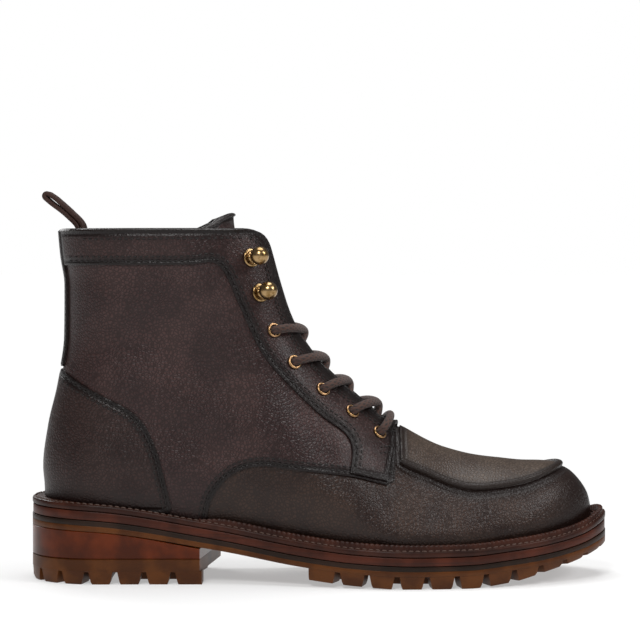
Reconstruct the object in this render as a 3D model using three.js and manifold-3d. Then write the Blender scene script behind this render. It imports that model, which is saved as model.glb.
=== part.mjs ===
// Lace up ankle boot, right foot, standing empty on its sole.
// Millimetres, +X towards the toe, +Y towards the other foot, +Z up from the floor.

import * as THREE from 'three';
import { mergeVertices } from 'three/addons/utils/BufferGeometryUtils.js';
import Module from 'manifold-3d';

const wasm = await Module();
wasm.setup();

// Driving dimensions
const soleLength = 304;
const ballWidth = 107;
const heelSeat = 40.9;
const ballSeat = 19.2;
const toeLift = 15.4;
const collarHeight = 182.5;
const instepHeight = 60.6;
const heelInset = 8;
const backLean = 12;
const collarFront = 28;
const throatPlace = 40;
const toeInset = 8.4;
const collarCorner = 9;
const throatGap = 9;
const collarGap = 14;
const weltLedge = 6.6;
const weltThickness = 3.3;
const weltRib = 4.4;
const weltRibWidth = 2.4;
const midsoleThickness = 4.2;
const outsoleThickness = 5.3;
const lugDepth = 6.4;
const lugPitch = 15.2;
const lugGap = 4;
const lugReach = 15;
const heelLength = 94;
const heelBreastSlant = 4;
const waistLength = 52;
const heelLiftThickness = 6.7;
const upperWall = 2.2;
const quarterThickness = 1;
const overlayThickness = 1;
const backstayWidth = 17;
const apronStep = 1;
const apronLip = 2.2;
const apronLipWidth = 3.2;
const apronWidth = 62;
const tongueThickness = 3;
const tongueWidth = 44;
const tongueTop = 191;
const tongueLean = 16;
const tongueBend = 52;
const tongueSpread = 60;
const insoleThickness = 3;
const loopWidth = 15;
const loopTail = 16;
const loopStrap = 2.4;
const loopReach = 18.6;
const loopHeight = 19.4;
const eyeletSize = 7.6;
const eyeletBore = 4.9;
const eyeletHeight = 1.1;
const hookBase = 9.6;
const hookBall = 9;
const hookStem = 3.6;
const hookReach = 4.2;
const laceThickness = 4.4;
const clearance = 0.3;
const weltClearance = 0.6;

const halfLength = soleLength / 2;
const shaftRise = collarHeight - heelSeat;
const toeEnd = halfLength - toeInset;

// Colours of the finishes
const leather = { color: 0x43393a, roughness: 0.55, metalness: 0 };
const trimLeather = { color: 0x332925, roughness: 0.5, metalness: 0 };
const apronLeather = { color: 0x5f5951, roughness: 0.55, metalness: 0 };
const rubber = { color: 0x2c201a, roughness: 0.6, metalness: 0 };
const heelRubber = { color: 0x512414, roughness: 0.4, metalness: 0 };
const brass = { color: 0xa88760, roughness: 0.3, metalness: 1 };
const cotton = { color: 0x5d423a, roughness: 0.8, metalness: 0 };

// Plan of the sole: at is a share of half its length, half a share of the ball's half width,
// middle the sideways place of its centre as a share of the same half width.
const planRows = [
  { at: -1, half: 0.64, middle: 0 },
  { at: -0.7, half: 0.675, middle: 0 },
  { at: -0.27, half: 0.63, middle: -0.045 },
  { at: 0.33, half: 1, middle: -0.01 },
  { at: 0.72, half: 0.93, middle: 0.07 },
  { at: 1, half: 0.84, middle: 0.16 },
];

// Side of the sole: heel and spring are shares of the heel's height over the ball and of the
// toe's lift, stack a share of the three layers, tread a share of the lugs' depth.
const soleRows = [
  { at: -1, heel: 1.1, spring: 0, stack: 1.12, tread: 1 },
  { at: -0.75, heel: 1, spring: 0, stack: 1.08, tread: 1 },
  { at: -0.38, heel: 0.59, spring: 0, stack: 1.05, tread: 0.95 },
  { at: -0.07, heel: 0.2, spring: 0, stack: 1.03, tread: 0.95 },
  { at: 0.13, heel: 0.05, spring: 0, stack: 1, tread: 0.98 },
  { at: 0.33, heel: 0, spring: 0, stack: 1, tread: 1.05 },
  { at: 0.5, heel: 0, spring: 0.02, stack: 1, tread: 1.05 },
  { at: 0.64, heel: 0, spring: 0.14, stack: 1, tread: 0.98 },
  { at: 0.76, heel: 0, spring: 0.27, stack: 1, tread: 0.62 },
  { at: 0.9, heel: 0, spring: 0.55, stack: 1.06, tread: 0.3 },
  { at: 1, heel: 0, spring: 1, stack: 1.28, tread: 0.12 },
];

// Back of the upper: up is a share of the shaft's rise over the heel seat, lean of the backLean.
const backRows = [
  { up: -0.1, lean: 0.1 },
  { up: 0.05, lean: 0.07 },
  { up: 0.125, lean: 0 },
  { up: 0.276, lean: 0.22 },
  { up: 0.425, lean: 0.63 },
  { up: 0.61, lean: 0.97 },
  { up: 0.8, lean: 1 },
  { up: 0.91, lean: 0.82 },
  { up: 1, lean: 0.72 },
];

// Ridge of the vamp: at is a share of the throat's distance from the toe end, rise of the
// instep's height over the feather line.
const vampRows = [
  { at: 0.0, rise: 0.0 },
  { at: -0.006, rise: 0.06 },
  { at: 0.008, rise: 0.2 },
  { at: 0.058, rise: 0.38 },
  { at: 0.135, rise: 0.52 },
  { at: 0.25, rise: 0.59 },
  { at: 0.36, rise: 0.62 },
  { at: 0.468, rise: 0.66 },
  { at: 0.57, rise: 0.7 },
  { at: 0.773, rise: 0.8 },
  { at: 1, rise: 1 },
];

// Ridge of the facings: up is a share of the way from throat to collar, back of the way aft.
const facingRows = [
  { up: 0, back: 0 },
  { up: 0.036, back: 0.07 },
  { up: 0.137, back: 0.265 },
  { up: 0.249, back: 0.47 },
  { up: 0.385, back: 0.66 },
  { up: 0.556, back: 0.81 },
  { up: 0.722, back: 0.89 },
  { up: 0.927, back: 0.97 },
  { up: 1, back: 1 },
];

// Girth of the upper over the sole's plan less its ledge, up as for the back rows.
const girthRows = [
  { up: 0, heel: 0.98, waist: 0.98, ball: 0.98 },
  { up: 0.07, heel: 1.03, waist: 1.04, ball: 1.02 },
  { up: 0.18, heel: 1.02, waist: 1.12, ball: 1.01 },
  { up: 0.35, heel: 0.98, waist: 1.1, ball: 0.95 },
  { up: 0.55, heel: 0.98, waist: 1.1, ball: 0.9 },
  { up: 0.8, heel: 1.06, waist: 1.2, ball: 0.9 },
  { up: 1, heel: 1.12, waist: 1.26, ball: 0.9 },
];

// How fast the walls turn in under the ridge: run in shares of the instep's height.
const crownRows = [
  { at: -0.2, run: 0.8, power: 2.1 },
  { at: 0.05, run: 0.84, power: 1.8 },
  { at: 0.26, run: 0.86, power: 1.5 },
  { at: 0.43, run: 0.8, power: 1.55 },
  { at: 0.6, run: 0.7, power: 1.9 },
  { at: 0.8, run: 0.6, power: 2.4 },
];

// Side outlines of the overlays: at and up are shares of half the sole and of the shaft's rise.
const counterEdge = [
  { at: -0.89, up: 0.487 },
  { at: -0.798, up: 0.429 },
  { at: -0.722, up: 0.387 },
  { at: -0.651, up: 0.347 },
  { at: -0.597, up: 0.291 },
  { at: -0.553, up: 0.193 },
  { at: -0.526, up: 0.088 },
  { at: -0.5, up: -0.03 },
];
const collarSeam = [
  { at: -0.9, up: 0.876 },
  { at: -0.65, up: 0.876 },
  { at: -0.441, up: 0.877 },
  { at: -0.37, up: 0.885 },
  { at: -0.334, up: 0.86 },
  { at: -0.305, up: 0.8 },
  { at: -0.278, up: 0.732 },
  { at: -0.2, up: 0.554 },
  { at: -0.115, up: 0.441 },
  { at: -0.003, up: 0.324 },
  { at: 0.078, up: 0.258 },
  { at: 0.105, up: 0.2 },
  { at: 0.098, up: 0.118 },
];
const quarterEdge = [
  { at: -0.39, up: -0.12 },
  { at: -0.378, up: -0.011 },
  { at: -0.351, up: 0.054 },
  { at: -0.29, up: 0.116 },
  { at: -0.2, up: 0.143 },
  { at: -0.068, up: 0.131 },
  { at: 0.098, up: 0.109 },
  { at: 0.225, up: 0.073 },
];
const tabFront = [
  { at: 0.25, up: 0.09 },
  { at: 0.258, up: 0.2 },
  { at: 0.258, up: 0.36 },
];

// Eyelets from the top down and hooks below the collar, as shares of the same two sizes.
const eyeletRows = [
  { at: -0.166, up: 0.632 },
  { at: -0.096, up: 0.512 },
  { at: 0.001, up: 0.409 },
  { at: 0.1, up: 0.326 },
  { at: 0.194, up: 0.247 },
];
const hookRows = [
  { at: -0.243, up: 0.898 },
  { at: -0.212, up: 0.77 },
];

function mix(a, b, t) {
  return a + (b - a) * t;
}

function smooth(low, high, value) {
  return THREE.MathUtils.smoothstep(value, low, high);
}

// Monotone cubic through two columns of a table
function curveOf(rows, inColumn, outColumn) {
  const x = rows.map((row) => row[inColumn]);
  const y = rows.map((row) => row[outColumn]);
  const rise = x.slice(1).map((v, i) => (y[i + 1] - y[i]) / (v - x[i]));
  const slope = x.map((_, i) => {
    if (i === 0) return rise[0];
    if (i === x.length - 1) return rise[i - 1];
    if (rise[i - 1] * rise[i] <= 0) return 0;
    return (2 * rise[i - 1] * rise[i]) / (rise[i - 1] + rise[i]);
  });
  return (value) => {
    if (value <= x[0]) return y[0];
    if (value >= x[x.length - 1]) return y[y.length - 1];
    let i = 0;
    while (value > x[i + 1]) i += 1;
    const step = x[i + 1] - x[i];
    const t = (value - x[i]) / step;
    const t2 = t * t;
    const t3 = t2 * t;
    return (2 * t3 - 3 * t2 + 1) * y[i] + (t3 - 2 * t2 + t) * step * slope[i]
      + (3 * t2 - 2 * t3) * y[i + 1] + (t3 - t2) * step * slope[i + 1];
  };
}

// Rise of a superellipse from its end, 0 at distance 0 and 1 from the run onwards
function crown(distance, run, power) {
  const t = THREE.MathUtils.clamp(distance / run, 0, 1);
  return (1 - (1 - t) ** power) ** (1 / power);
}

const planHalf = curveOf(planRows, 'at', 'half');
const planMiddle = curveOf(planRows, 'at', 'middle');
const sideHeel = curveOf(soleRows, 'at', 'heel');
const sideSpring = curveOf(soleRows, 'at', 'spring');
const sideStack = curveOf(soleRows, 'at', 'stack');
const sideTread = curveOf(soleRows, 'at', 'tread');

const toeRun = 0.58 * halfLength;
const heelRun = 0.25 * halfLength;
const sideShift = 0.05;
const archCut = 0.06;

// side is -1 on the outer and 1 on the inner side of the foot
function baseHalf(x, side) {
  const at = x / halfLength - side * sideShift;
  const arch = side > 0 ? archCut * Math.exp(-(((x / halfLength + 0.2) / 0.3) ** 2)) : 0;
  return (planHalf(at) - arch) * (ballWidth / 2);
}

function centre(x) {
  return planMiddle(x / halfLength) * (ballWidth / 2);
}

function weltTop(x) {
  const at = x / halfLength;
  return ballSeat + sideHeel(at) * (heelSeat - ballSeat) + sideSpring(at) * toeLift;
}

function stackPart(x, thickness) {
  return thickness * sideStack(x / halfLength);
}

function midsoleTop(x) {
  return weltTop(x) - stackPart(x, weltThickness);
}

function outsoleTop(x) {
  return midsoleTop(x) - stackPart(x, midsoleThickness);
}

function outsoleRoot(x) {
  return outsoleTop(x) - stackPart(x, outsoleThickness);
}

function treadBottom(x) {
  return Math.max(0, outsoleRoot(x) - lugDepth * sideTread(x / halfLength));
}

// Ridge of the closed upper in side view, from the toe up the vamp and the facings
function ridgeLine() {
  const points = [];
  const vampRise = curveOf(vampRows.map((row, i) => ({ i, ...row })), 'i', 'rise');
  const vampAt = curveOf(vampRows.map((row, i) => ({ i, ...row })), 'i', 'at');
  const steps = 4;
  for (let i = 0; i <= (vampRows.length - 1) * steps; i += 1) {
    const x = toeEnd - vampAt(i / steps) * (toeEnd - throatPlace);
    points.push(new THREE.Vector2(x, weltTop(x) + vampRise(i / steps) * instepHeight));
  }
  const throat = points[points.length - 1];
  const aft = curveOf(facingRows, 'up', 'back');
  const facingSteps = 36;
  for (let i = 1; i <= facingSteps; i += 1) {
    const up = i / facingSteps;
    const x = mix(throat.x, -collarFront, aft(up));
    points.push(new THREE.Vector2(x, mix(throat.y, collarHeight, up)));
  }
  return { points, throatIndex: (vampRows.length - 1) * steps };
}

const ridge = ridgeLine();
const throat = ridge.points[ridge.throatIndex];
const backCurve = curveOf(backRows, 'up', 'lean');

function backAt(z) {
  return -halfLength + heelInset + backLean * backCurve((z - heelSeat) / shaftRise);
}

// Height of the vamp's ridge over the place x, for the forefoot alone
function ridgeHeight(x) {
  const line = ridge.points;
  for (let i = 4; i < line.length - 1; i += 1) {
    if (x <= line[i].x && x >= line[i + 1].x) {
      const t = (line[i].x - x) / Math.max(1e-6, line[i].x - line[i + 1].x);
      return mix(line[i].y, line[i + 1].y, t);
    }
  }
  return x > 0 ? weltTop(x) : collarHeight;
}

function ridgeDistance(x, z) {
  let best = Infinity;
  for (let i = 0; i < ridge.points.length - 1; i += 1) {
    const a = ridge.points[i];
    const b = ridge.points[i + 1];
    const length2 = a.distanceToSquared(b);
    const t = THREE.MathUtils.clamp(
      ((x - a.x) * (b.x - a.x) + (z - a.y) * (b.y - a.y)) / length2, 0, 1);
    best = Math.min(best, Math.hypot(x - mix(a.x, b.x, t), z - mix(a.y, b.y, t)));
  }
  return best;
}

const crownRun = curveOf(crownRows, 'at', 'run');
const crownPower = curveOf(crownRows, 'at', 'power');
const girthHeel = curveOf(girthRows, 'up', 'heel');
const girthWaist = curveOf(girthRows, 'up', 'waist');
const girthBall = curveOf(girthRows, 'up', 'ball');
const shaftBackRun = 0.28 * halfLength;

// Half width of the upper's outer face at a place in side view
function upperHalf(x, z, side) {
  const up = (z - weltTop(x)) / shaftRise;
  const at = x / halfLength;
  const waistShare = smooth(-0.7, -0.25, at);
  const ballShare = smooth(-0.1, 0.3, at);
  const girth = mix(mix(girthHeel(up), girthWaist(up), waistShare), girthBall(up), ballShare);
  const width = (baseHalf(x, side) - weltLedge) * girth;
  const run = crownRun(at) * instepHeight;
  const power = crownPower(at);
  const slant = ridgeDistance(x, z) / run;
  const top = ridgeHeight(x);
  const drop = (top - z) / Math.max(1, top - weltTop(x));
  const near = mix(slant, drop, smooth(throatPlace - 14, throatPlace + 22, x));
  const back = crown(x - backAt(z), shaftBackRun, 2.1);
  const front = crown(toeEnd + 0.6 - x, toeRun, 2.3);
  return width * back * front * crown(near, 1, power);
}

// Place in side view where the closed upper is as wide as half the gap between the facings
function facingPlace(index, gap) {
  const line = ridge.points;
  const here = line[index];
  const before = line[Math.max(0, index - 1)];
  const after = line[Math.min(line.length - 1, index + 1)];
  const along = after.clone().sub(before).normalize();
  const inward = new THREE.Vector2(-along.y, along.x);
  let low = 0;
  let high = 0.6 * instepHeight;
  for (let i = 0; i < 30; i += 1) {
    const q = (low + high) / 2;
    if (upperHalf(here.x + inward.x * q, here.y + inward.y * q, -1) < gap) low = q;
    else high = q;
  }
  return here.clone().addScaledVector(inward, low);
}

function facingGap(z) {
  const up = (z - throat.y) / (collarHeight - throat.y);
  const bow = Math.sqrt(1 - (1 - Math.min(1, up / 0.06)) ** 2);
  return mix(throatGap, collarGap, up) * bow;
}

function alongLine(points) {
  const reach = [0];
  for (let i = 1; i < points.length; i += 1) {
    reach.push(reach[i - 1] + points[i].distanceTo(points[i - 1]));
  }
  const total = reach[reach.length - 1];
  return (t) => {
    const s = t * total;
    let i = 0;
    while (i < points.length - 2 && s > reach[i + 1]) i += 1;
    const share = (s - reach[i]) / Math.max(1e-9, reach[i + 1] - reach[i]);
    return points[i].clone().lerp(points[i + 1], Math.min(1, share));
  };
}

// Facing edge in side view, from the collar's rounded corner down to the throat
function facingEdge() {
  const edge = [];
  for (let i = ridge.throatIndex; i < ridge.points.length; i += 1) {
    edge.push(facingPlace(i, facingGap(ridge.points[i].y)));
  }
  const kept = edge.filter((p) => p.y < collarHeight - collarCorner);
  const cornerX = edge[edge.length - 1].x;
  const start = new THREE.Vector2(cornerX - collarCorner, collarHeight);
  const corner = new THREE.QuadraticBezierCurve(
    start, new THREE.Vector2(cornerX, collarHeight), kept[kept.length - 1]).getPoints(6);
  return [...corner, ...kept.reverse().slice(1)];
}

const facingPoints = facingEdge();
const facingAlong = alongLine(facingPoints);
const vampAlong = alongLine(ridge.points.slice(2, ridge.throatIndex + 1).reverse());
const backLow = backAt(heelSeat);

// Columns of the upper's grid: how many on each stretch of its top edge, and the share of
// the sole's length at which that stretch ends
const stretches = { collar: 7, facing: 8, vamp: 8 };
const feet = { collar: 0.43, facing: 0.69 };
const gridRows = 8;
const pull = 0.3;
const inwardLean = 0.35;

function gridColumns() {
  const columns = [];
  const add = (top, inward, share) => columns.push({ top, inward, share });
  const down = new THREE.Vector2(0, -1);
  for (let i = 0; i < stretches.collar; i += 1) {
    const f = 1 - Math.cos((Math.PI / 2) * (i / stretches.collar) ** 0.9);
    const x = mix(backAt(collarHeight), facingPoints[0].x, f);
    add(new THREE.Vector2(x, collarHeight), down, mix(0, feet.collar, f));
  }
  for (let i = 0; i < stretches.facing; i += 1) {
    const f = i / stretches.facing;
    const before = facingAlong(Math.max(0, f - 0.02));
    const along = facingAlong(f + 0.02).sub(before).normalize();
    add(facingAlong(f), new THREE.Vector2(along.y, -along.x), mix(feet.collar, feet.facing, f));
  }
  for (let i = 0; i <= stretches.vamp; i += 1) {
    const f = Math.sin((Math.PI / 2) * (i / stretches.vamp));
    add(vampAlong(f), down, mix(feet.facing, 1, f));
  }
  return columns;
}

// How far the back of the upper bows away from a straight line
function backBow(z) {
  const foot = weltTop(backLow) + weltClearance;
  const straight = mix(backLow, backAt(collarHeight), (z - foot) / (collarHeight - foot));
  return z < foot + 1 ? 0 : backAt(z) - straight;
}

// Side view of a column: a curve from the feather line up to the top edge
function columnCurve({ top, inward, share }) {
  const x = mix(backLow, toeEnd, share);
  const foot = new THREE.Vector2(x, weltTop(x) + weltClearance);
  const reach = foot.distanceTo(top);
  const towards = foot.clone().sub(top).normalize();
  const lean = inward.clone().multiplyScalar(inwardLean).add(towards).normalize();
  const middle = top.clone().addScaledVector(lean, pull * reach);
  return new THREE.QuadraticBezierCurve(foot, middle, top);
}

// Grid of the upper's outer face: both sides share the back, the toe and the vamp's ridge
function upperGrid() {
  const columns = gridColumns();
  const last = columns.length - 1;
  const throatColumn = stretches.collar + stretches.facing;
  const points = [];
  const ids = new Map();
  const idOf = (side, row, column) => {
    const onRidge = row === gridRows && column >= throatColumn;
    const shared = column === 0 || column === last || onRidge;
    const key = `${shared ? 0 : side},${row},${column}`;
    if (!ids.has(key)) {
      const t = Math.sin((Math.PI / 2) * (row / gridRows));
      const p = columnCurve(columns[column]).getPoint(t);
      p.x += backBow(p.y) * Math.max(0, 1 - columns[column].share / feet.collar);
      const half = shared ? 0 : upperHalf(p.x, p.y, side);
      ids.set(key, points.length);
      points.push(new THREE.Vector3(p.x, centre(p.x) + side * half, p.y));
    }
    return ids.get(key);
  };
  const triangles = [];
  for (const side of [-1, 1]) {
    for (let row = 0; row < gridRows; row += 1) {
      for (let column = 0; column < last; column += 1) {
        const a = idOf(side, row, column);
        const b = idOf(side, row, column + 1);
        const c = idOf(side, row + 1, column + 1);
        const d = idOf(side, row + 1, column);
        const pair = side < 0 ? [[a, b, c], [a, c, d]] : [[a, c, b], [a, d, c]];
        triangles.push(...pair.filter((t) => new Set(t).size === 3));
      }
    }
  }
  const floorIds = new Set();
  for (const side of [-1, 1]) {
    for (let column = 0; column <= last; column += 1) floorIds.add(idOf(side, 0, column));
  }
  return { points, triangles, floorIds };
}

const grid = upperGrid();

// Offset direction of each grid point, long enough to move every face beside it by one
function offsetDirections({ points, triangles }) {
  const faces = points.map(() => []);
  for (const triangle of triangles) {
    const [p, q, r] = triangle.map((i) => points[i]);
    const normal = q.clone().sub(p).cross(r.clone().sub(p)).normalize();
    for (const i of triangle) faces[i].push(normal);
  }
  return faces.map((normals) => {
    const middle = normals.reduce((sum, n) => sum.add(n), new THREE.Vector3()).normalize();
    const least = Math.min(...normals.map((n) => n.dot(middle)));
    return middle.divideScalar(Math.max(0.6, least));
  });
}

const directions = offsetDirections(grid);

function offsetPoints(distance) {
  return grid.points.map((p, i) => {
    const moved = p.clone().addScaledVector(directions[i], distance);
    if (grid.floorIds.has(i)) moved.z = p.z;
    return moved;
  });
}

function openEdges(triangles) {
  const edges = new Set(triangles.flatMap(([a, b, c]) => [`${a},${b}`, `${b},${c}`, `${c},${a}`]));
  const open = [...edges].filter((key) => !edges.has(key.split(',').reverse().join(',')));
  return open.map((key) => key.split(',').map(Number));
}

function geometryOf(points, triangles) {
  const geometry = new THREE.BufferGeometry();
  const flat = points.flatMap((p) => [p.x, p.y, p.z]);
  geometry.setAttribute('position', new THREE.Float32BufferAttribute(flat, 3));
  geometry.setIndex(triangles);
  return geometry;
}

// Closed shell between two offsets of the upper's outer face, open at top and underneath
function shell(inner, outer) {
  const half = grid.points.length;
  const triangles = [];
  for (const [a, b, c] of grid.triangles) {
    triangles.push(a, b, c, half + a, half + c, half + b);
  }
  for (const [a, b] of openEdges(grid.triangles)) {
    triangles.push(b, a, half + a, b, half + a, half + b);
  }
  return solidOf(geometryOf([...offsetPoints(outer), ...offsetPoints(inner)], triangles));
}

function solidOf(source) {
  const geometry = source.clone();
  geometry.deleteAttribute('normal');
  geometry.deleteAttribute('uv');
  const merged = mergeVertices(geometry, 1e-4);
  const index = merged.index.array;
  const kept = [];
  for (let i = 0; i < index.length; i += 3) {
    const [a, b, c] = index.slice(i, i + 3);
    if (a !== b && b !== c && c !== a) kept.push(a, b, c);
  }
  return new wasm.Manifold(new wasm.Mesh({
    numProp: 3,
    vertProperties: new Float32Array(merged.attributes.position.array),
    triVerts: new Uint32Array(kept),
  }));
}

function join(solids) {
  return solids.reduce((whole, solid) => whole.add(solid));
}

// Body of a cut that is kept, without the slivers beside it
function mainBody(solid) {
  const bodies = solid.decompose();
  return bodies.reduce((best, body) => (body.volume() > best.volume() ? body : best));
}

const boot = new THREE.Group();

function addPart(name, solid, finish) {
  const mesh = mainBody(solid).getMesh();
  const geometry = new THREE.BufferGeometry();
  const stride = mesh.numProp;
  const positions = [];
  for (let i = 0; i < mesh.vertProperties.length; i += stride) {
    positions.push(...mesh.vertProperties.slice(i, i + 3));
  }
  geometry.setAttribute('position', new THREE.Float32BufferAttribute(positions, 3));
  geometry.setIndex([...mesh.triVerts]);
  geometry.computeVertexNormals();
  const part = new THREE.Mesh(geometry, new THREE.MeshStandardMaterial(finish));
  part.name = name;
  boot.add(part);
}

// Stack of closed loops with a cap at each end; a loop lists the outer side from back to
// front and then the inner side from front to back
function stackSolid(loops) {
  const count = loops[0].length;
  const points = loops.flat();
  const triangles = [];
  const quad = (a, b, c, d) => triangles.push(a, b, c, a, c, d);
  for (let level = 0; level < loops.length - 1; level += 1) {
    for (let i = 0; i < count; i += 1) {
      const j = (i + 1) % count;
      quad(level * count + i, level * count + j, (level + 1) * count + j, (level + 1) * count + i);
    }
  }
  const top = (loops.length - 1) * count;
  for (let i = 0; i < count / 2 - 1; i += 1) {
    const far = count - 1 - i;
    quad(i + 1, i, far, far - 1);
    quad(top + i, top + i + 1, top + far - 1, top + far);
  }
  return solidOf(geometryOf(points, triangles));
}

const soleSteps = 16;

// Plan outline of the sole at an inset, its height given by a function of x
function soleLoop(inset, height, from = -halfLength, to = halfLength, slant = 0) {
  const back = Math.max(from, -halfLength + inset);
  const front = Math.min(to, halfLength - inset);
  const openBack = from > -halfLength + inset;
  const openFront = to < halfLength - inset;
  const rows = Array.from({ length: soleSteps + 1 }, (_, i) => {
    const t = i / soleSteps;
    const rounded = (1 - Math.cos(Math.PI * t)) / 2;
    const share = openFront ? 1 - Math.cos((Math.PI * t) / 2) : rounded;
    return mix(back, front, openBack ? Math.sin((Math.PI * t) / 2) : share);
  });
  const edge = (x, side) => {
    const reach = x + (openFront ? slant * side * ((x - back) / (front - back)) ** 2 : 0);
    const half = baseHalf(x, side) - inset;
    const round = crown(x + halfLength - inset, heelRun, 2.2)
      * crown(halfLength - inset - x, toeRun, 2.3);
    return new THREE.Vector3(reach, centre(x) + side * half * round, height(x));
  };
  return [...rows.map((x) => edge(x, -1)), ...rows.reverse().map((x) => edge(x, 1))];
}

function layer(top, bottom, edgeInset) {
  const bevel = 0.7;
  return stackSolid([
    soleLoop(edgeInset + bevel, bottom),
    soleLoop(edgeInset, (x) => bottom(x) + bevel),
    soleLoop(edgeInset, (x) => top(x) - bevel),
    soleLoop(edgeInset + bevel, top),
  ]);
}

// Point of the sole's edge outline, walked from a start on the outer side round an end
function edgeWalk(from, to, inset) {
  const loop = soleLoop(inset, () => 0);
  const half = loop.length / 2;
  const outer = loop.slice(0, half);
  const inner = loop.slice(half);
  const toe = to > 0;
  const path = toe ? [...outer, ...inner] : [...outer.reverse(), ...inner.reverse()];
  const kept = path.filter((p) => (toe ? p.x >= from : p.x <= to));
  return alongLine(kept.map((p) => new THREE.Vector2(p.x, p.y)));
}

// Wedge that cuts the gap between two lugs, wider towards the floor
function lugCutter(place, inwards, root) {
  const shape = new THREE.Shape([
    new THREE.Vector2(-lugGap * 0.75, -2), new THREE.Vector2(lugGap * 0.75, -2),
    new THREE.Vector2(lugGap * 0.38, root), new THREE.Vector2(-lugGap * 0.38, root),
  ]);
  const overhang = 6;
  const geometry = new THREE.ExtrudeGeometry(shape, {
    depth: lugReach + overhang, bevelEnabled: false,
  });
  geometry.translate(0, 0, -overhang);
  geometry.rotateX(Math.PI / 2);
  geometry.rotateZ(Math.atan2(inwards.y, inwards.x) + Math.PI / 2);
  geometry.translate(place.x, place.y, 0);
  return solidOf(geometry);
}

function lugCutters(from, to, root) {
  const walk = edgeWalk(from, to, 0);
  let length = 0;
  const samples = 200;
  for (let i = 0; i < samples; i += 1) {
    length += walk(i / samples).distanceTo(walk((i + 1) / samples));
  }
  const count = Math.round(length / lugPitch);
  const cutters = [];
  for (let i = 1; i < count; i += 1) {
    const t = i / count;
    const place = walk(t);
    const along = walk(t + 0.01).sub(walk(t - 0.01)).normalize();
    const turn = to > 0 ? 1 : -1;
    const inwards = new THREE.Vector2(-along.y, along.x).multiplyScalar(turn);
    cutters.push(lugCutter(place, inwards, root(place.x)));
  }
  return cutters;
}

function tread(from, to, top, bottom, slant) {
  const bevel = 1.2;
  const block = stackSolid([
    soleLoop(bevel * 2, bottom, from, to, slant),
    soleLoop(bevel, (x) => bottom(x) + bevel, from, to, slant),
    soleLoop(0, (x) => top(x), from, to, slant),
  ]);
  const floor = () => -3;
  const inner = stackSolid([
    soleLoop(lugReach, floor, from + lugReach * 0.4, to, slant),
    soleLoop(lugReach, top, from + lugReach * 0.4, to, slant),
  ]);
  return { block, inner };
}

function padsBetween(from, to, top, bottom) {
  const pads = [];
  const count = Math.max(1, Math.round((to - from) / (lugPitch * 1.5)));
  for (let i = 0; i < count; i += 1) {
    const low = mix(from, to, i / count) + lugGap / 2;
    const high = mix(from, to, (i + 1) / count) - lugGap / 2;
    const middle = centre((low + high) / 2);
    const halfWidth = baseHalf((low + high) / 2, -1) - lugReach - lugGap - 1;
    const corners = [low, high].flatMap((x) => [
      new THREE.Vector3(x, middle - halfWidth, 0), new THREE.Vector3(x, middle + halfWidth, 0),
    ]);
    const ring = [corners[0], corners[2], corners[3], corners[1]];
    pads.push(stackSolid([
      ring.map((p) => new THREE.Vector3(p.x, p.y, bottom(p.x))),
      ring.map((p) => new THREE.Vector3(p.x, p.y, top(p.x) + 0.5)),
    ]));
  }
  return join(pads);
}

// Sole
const heelEnd = -halfLength + heelLength;
const forefootStart = heelEnd + waistLength;
const liftTop = lugDepth + heelLiftThickness;
const above = (height, gap) => (x) => height(x) + gap;

function makeOutsole() {
  const plate = layer(above(outsoleTop, -clearance), outsoleRoot, 0);
  const root = above(outsoleRoot, 1.5);
  const { block, inner } = tread(forefootStart, halfLength, root, treadBottom, 0);
  let lugs = block;
  for (const cutter of lugCutters(forefootStart, halfLength, outsoleRoot)) {
    lugs = lugs.subtract(cutter);
  }
  lugs = lugs.subtract(inner);
  const padEnd = halfLength - lugReach * 2.4;
  const pads = padsBetween(forefootStart + lugReach * 0.5, padEnd, outsoleRoot, treadBottom);
  return join([plate, lugs, pads]);
}

function makeHeelBlock() {
  const beside = -weltLedge;
  const overSole = stackSolid([
    soleLoop(beside, above(outsoleRoot, -clearance)),
    soleLoop(beside, above(outsoleRoot, heelSeat)),
  ]);
  return stackSolid([
    soleLoop(0.8, () => liftTop + clearance, -halfLength, heelEnd, heelBreastSlant),
    soleLoop(0, () => liftTop + clearance + 0.8, -halfLength, heelEnd, heelBreastSlant),
    soleLoop(0, above(outsoleRoot, 2), -halfLength, heelEnd, heelBreastSlant),
  ]).subtract(overSole);
}

function makeHeelLift() {
  const top = () => liftTop;
  const floor = () => 0;
  const { block, inner } = tread(-halfLength, heelEnd, top, floor, heelBreastSlant);
  const base = stackSolid([
    soleLoop(0.2, () => lugDepth, -halfLength, heelEnd, heelBreastSlant),
    soleLoop(0, top, -halfLength, heelEnd, heelBreastSlant),
  ]);
  let lugs = block;
  for (const cutter of lugCutters(-halfLength, heelEnd - 6, () => lugDepth)) {
    lugs = lugs.subtract(cutter);
  }
  lugs = lugs.subtract(inner);
  const from = -halfLength + lugReach * 1.5;
  const pads = padsBetween(from, heelEnd - 2, () => lugDepth, floor);
  return join([base, lugs, pads]);
}

function makeWelt() {
  const strip = layer(weltTop, above(midsoleTop, clearance), 0);
  const ribFrom = -0.4 * halfLength;
  const foot = above(weltTop, -1);
  const crest = above(weltTop, weltRib);
  const ribInner = weltLedge - 2.4;
  const ribOuter = ribInner - weltRibWidth;
  const rib = stackSolid([
    soleLoop(ribOuter, foot, ribFrom), soleLoop(ribOuter + 1, crest, ribFrom),
  ]).subtract(stackSolid([
    soleLoop(ribInner, above(weltTop, -1.5), ribFrom - 9),
    soleLoop(ribInner, above(weltTop, weltRib + 2), ribFrom - 9),
  ]));
  const opening = stackSolid([
    soleLoop(weltLedge * 2.6, above(midsoleTop, -2)), soleLoop(weltLedge * 2.6, above(weltTop, 2)),
  ]);
  return strip.add(rib).subtract(opening);
}

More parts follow.
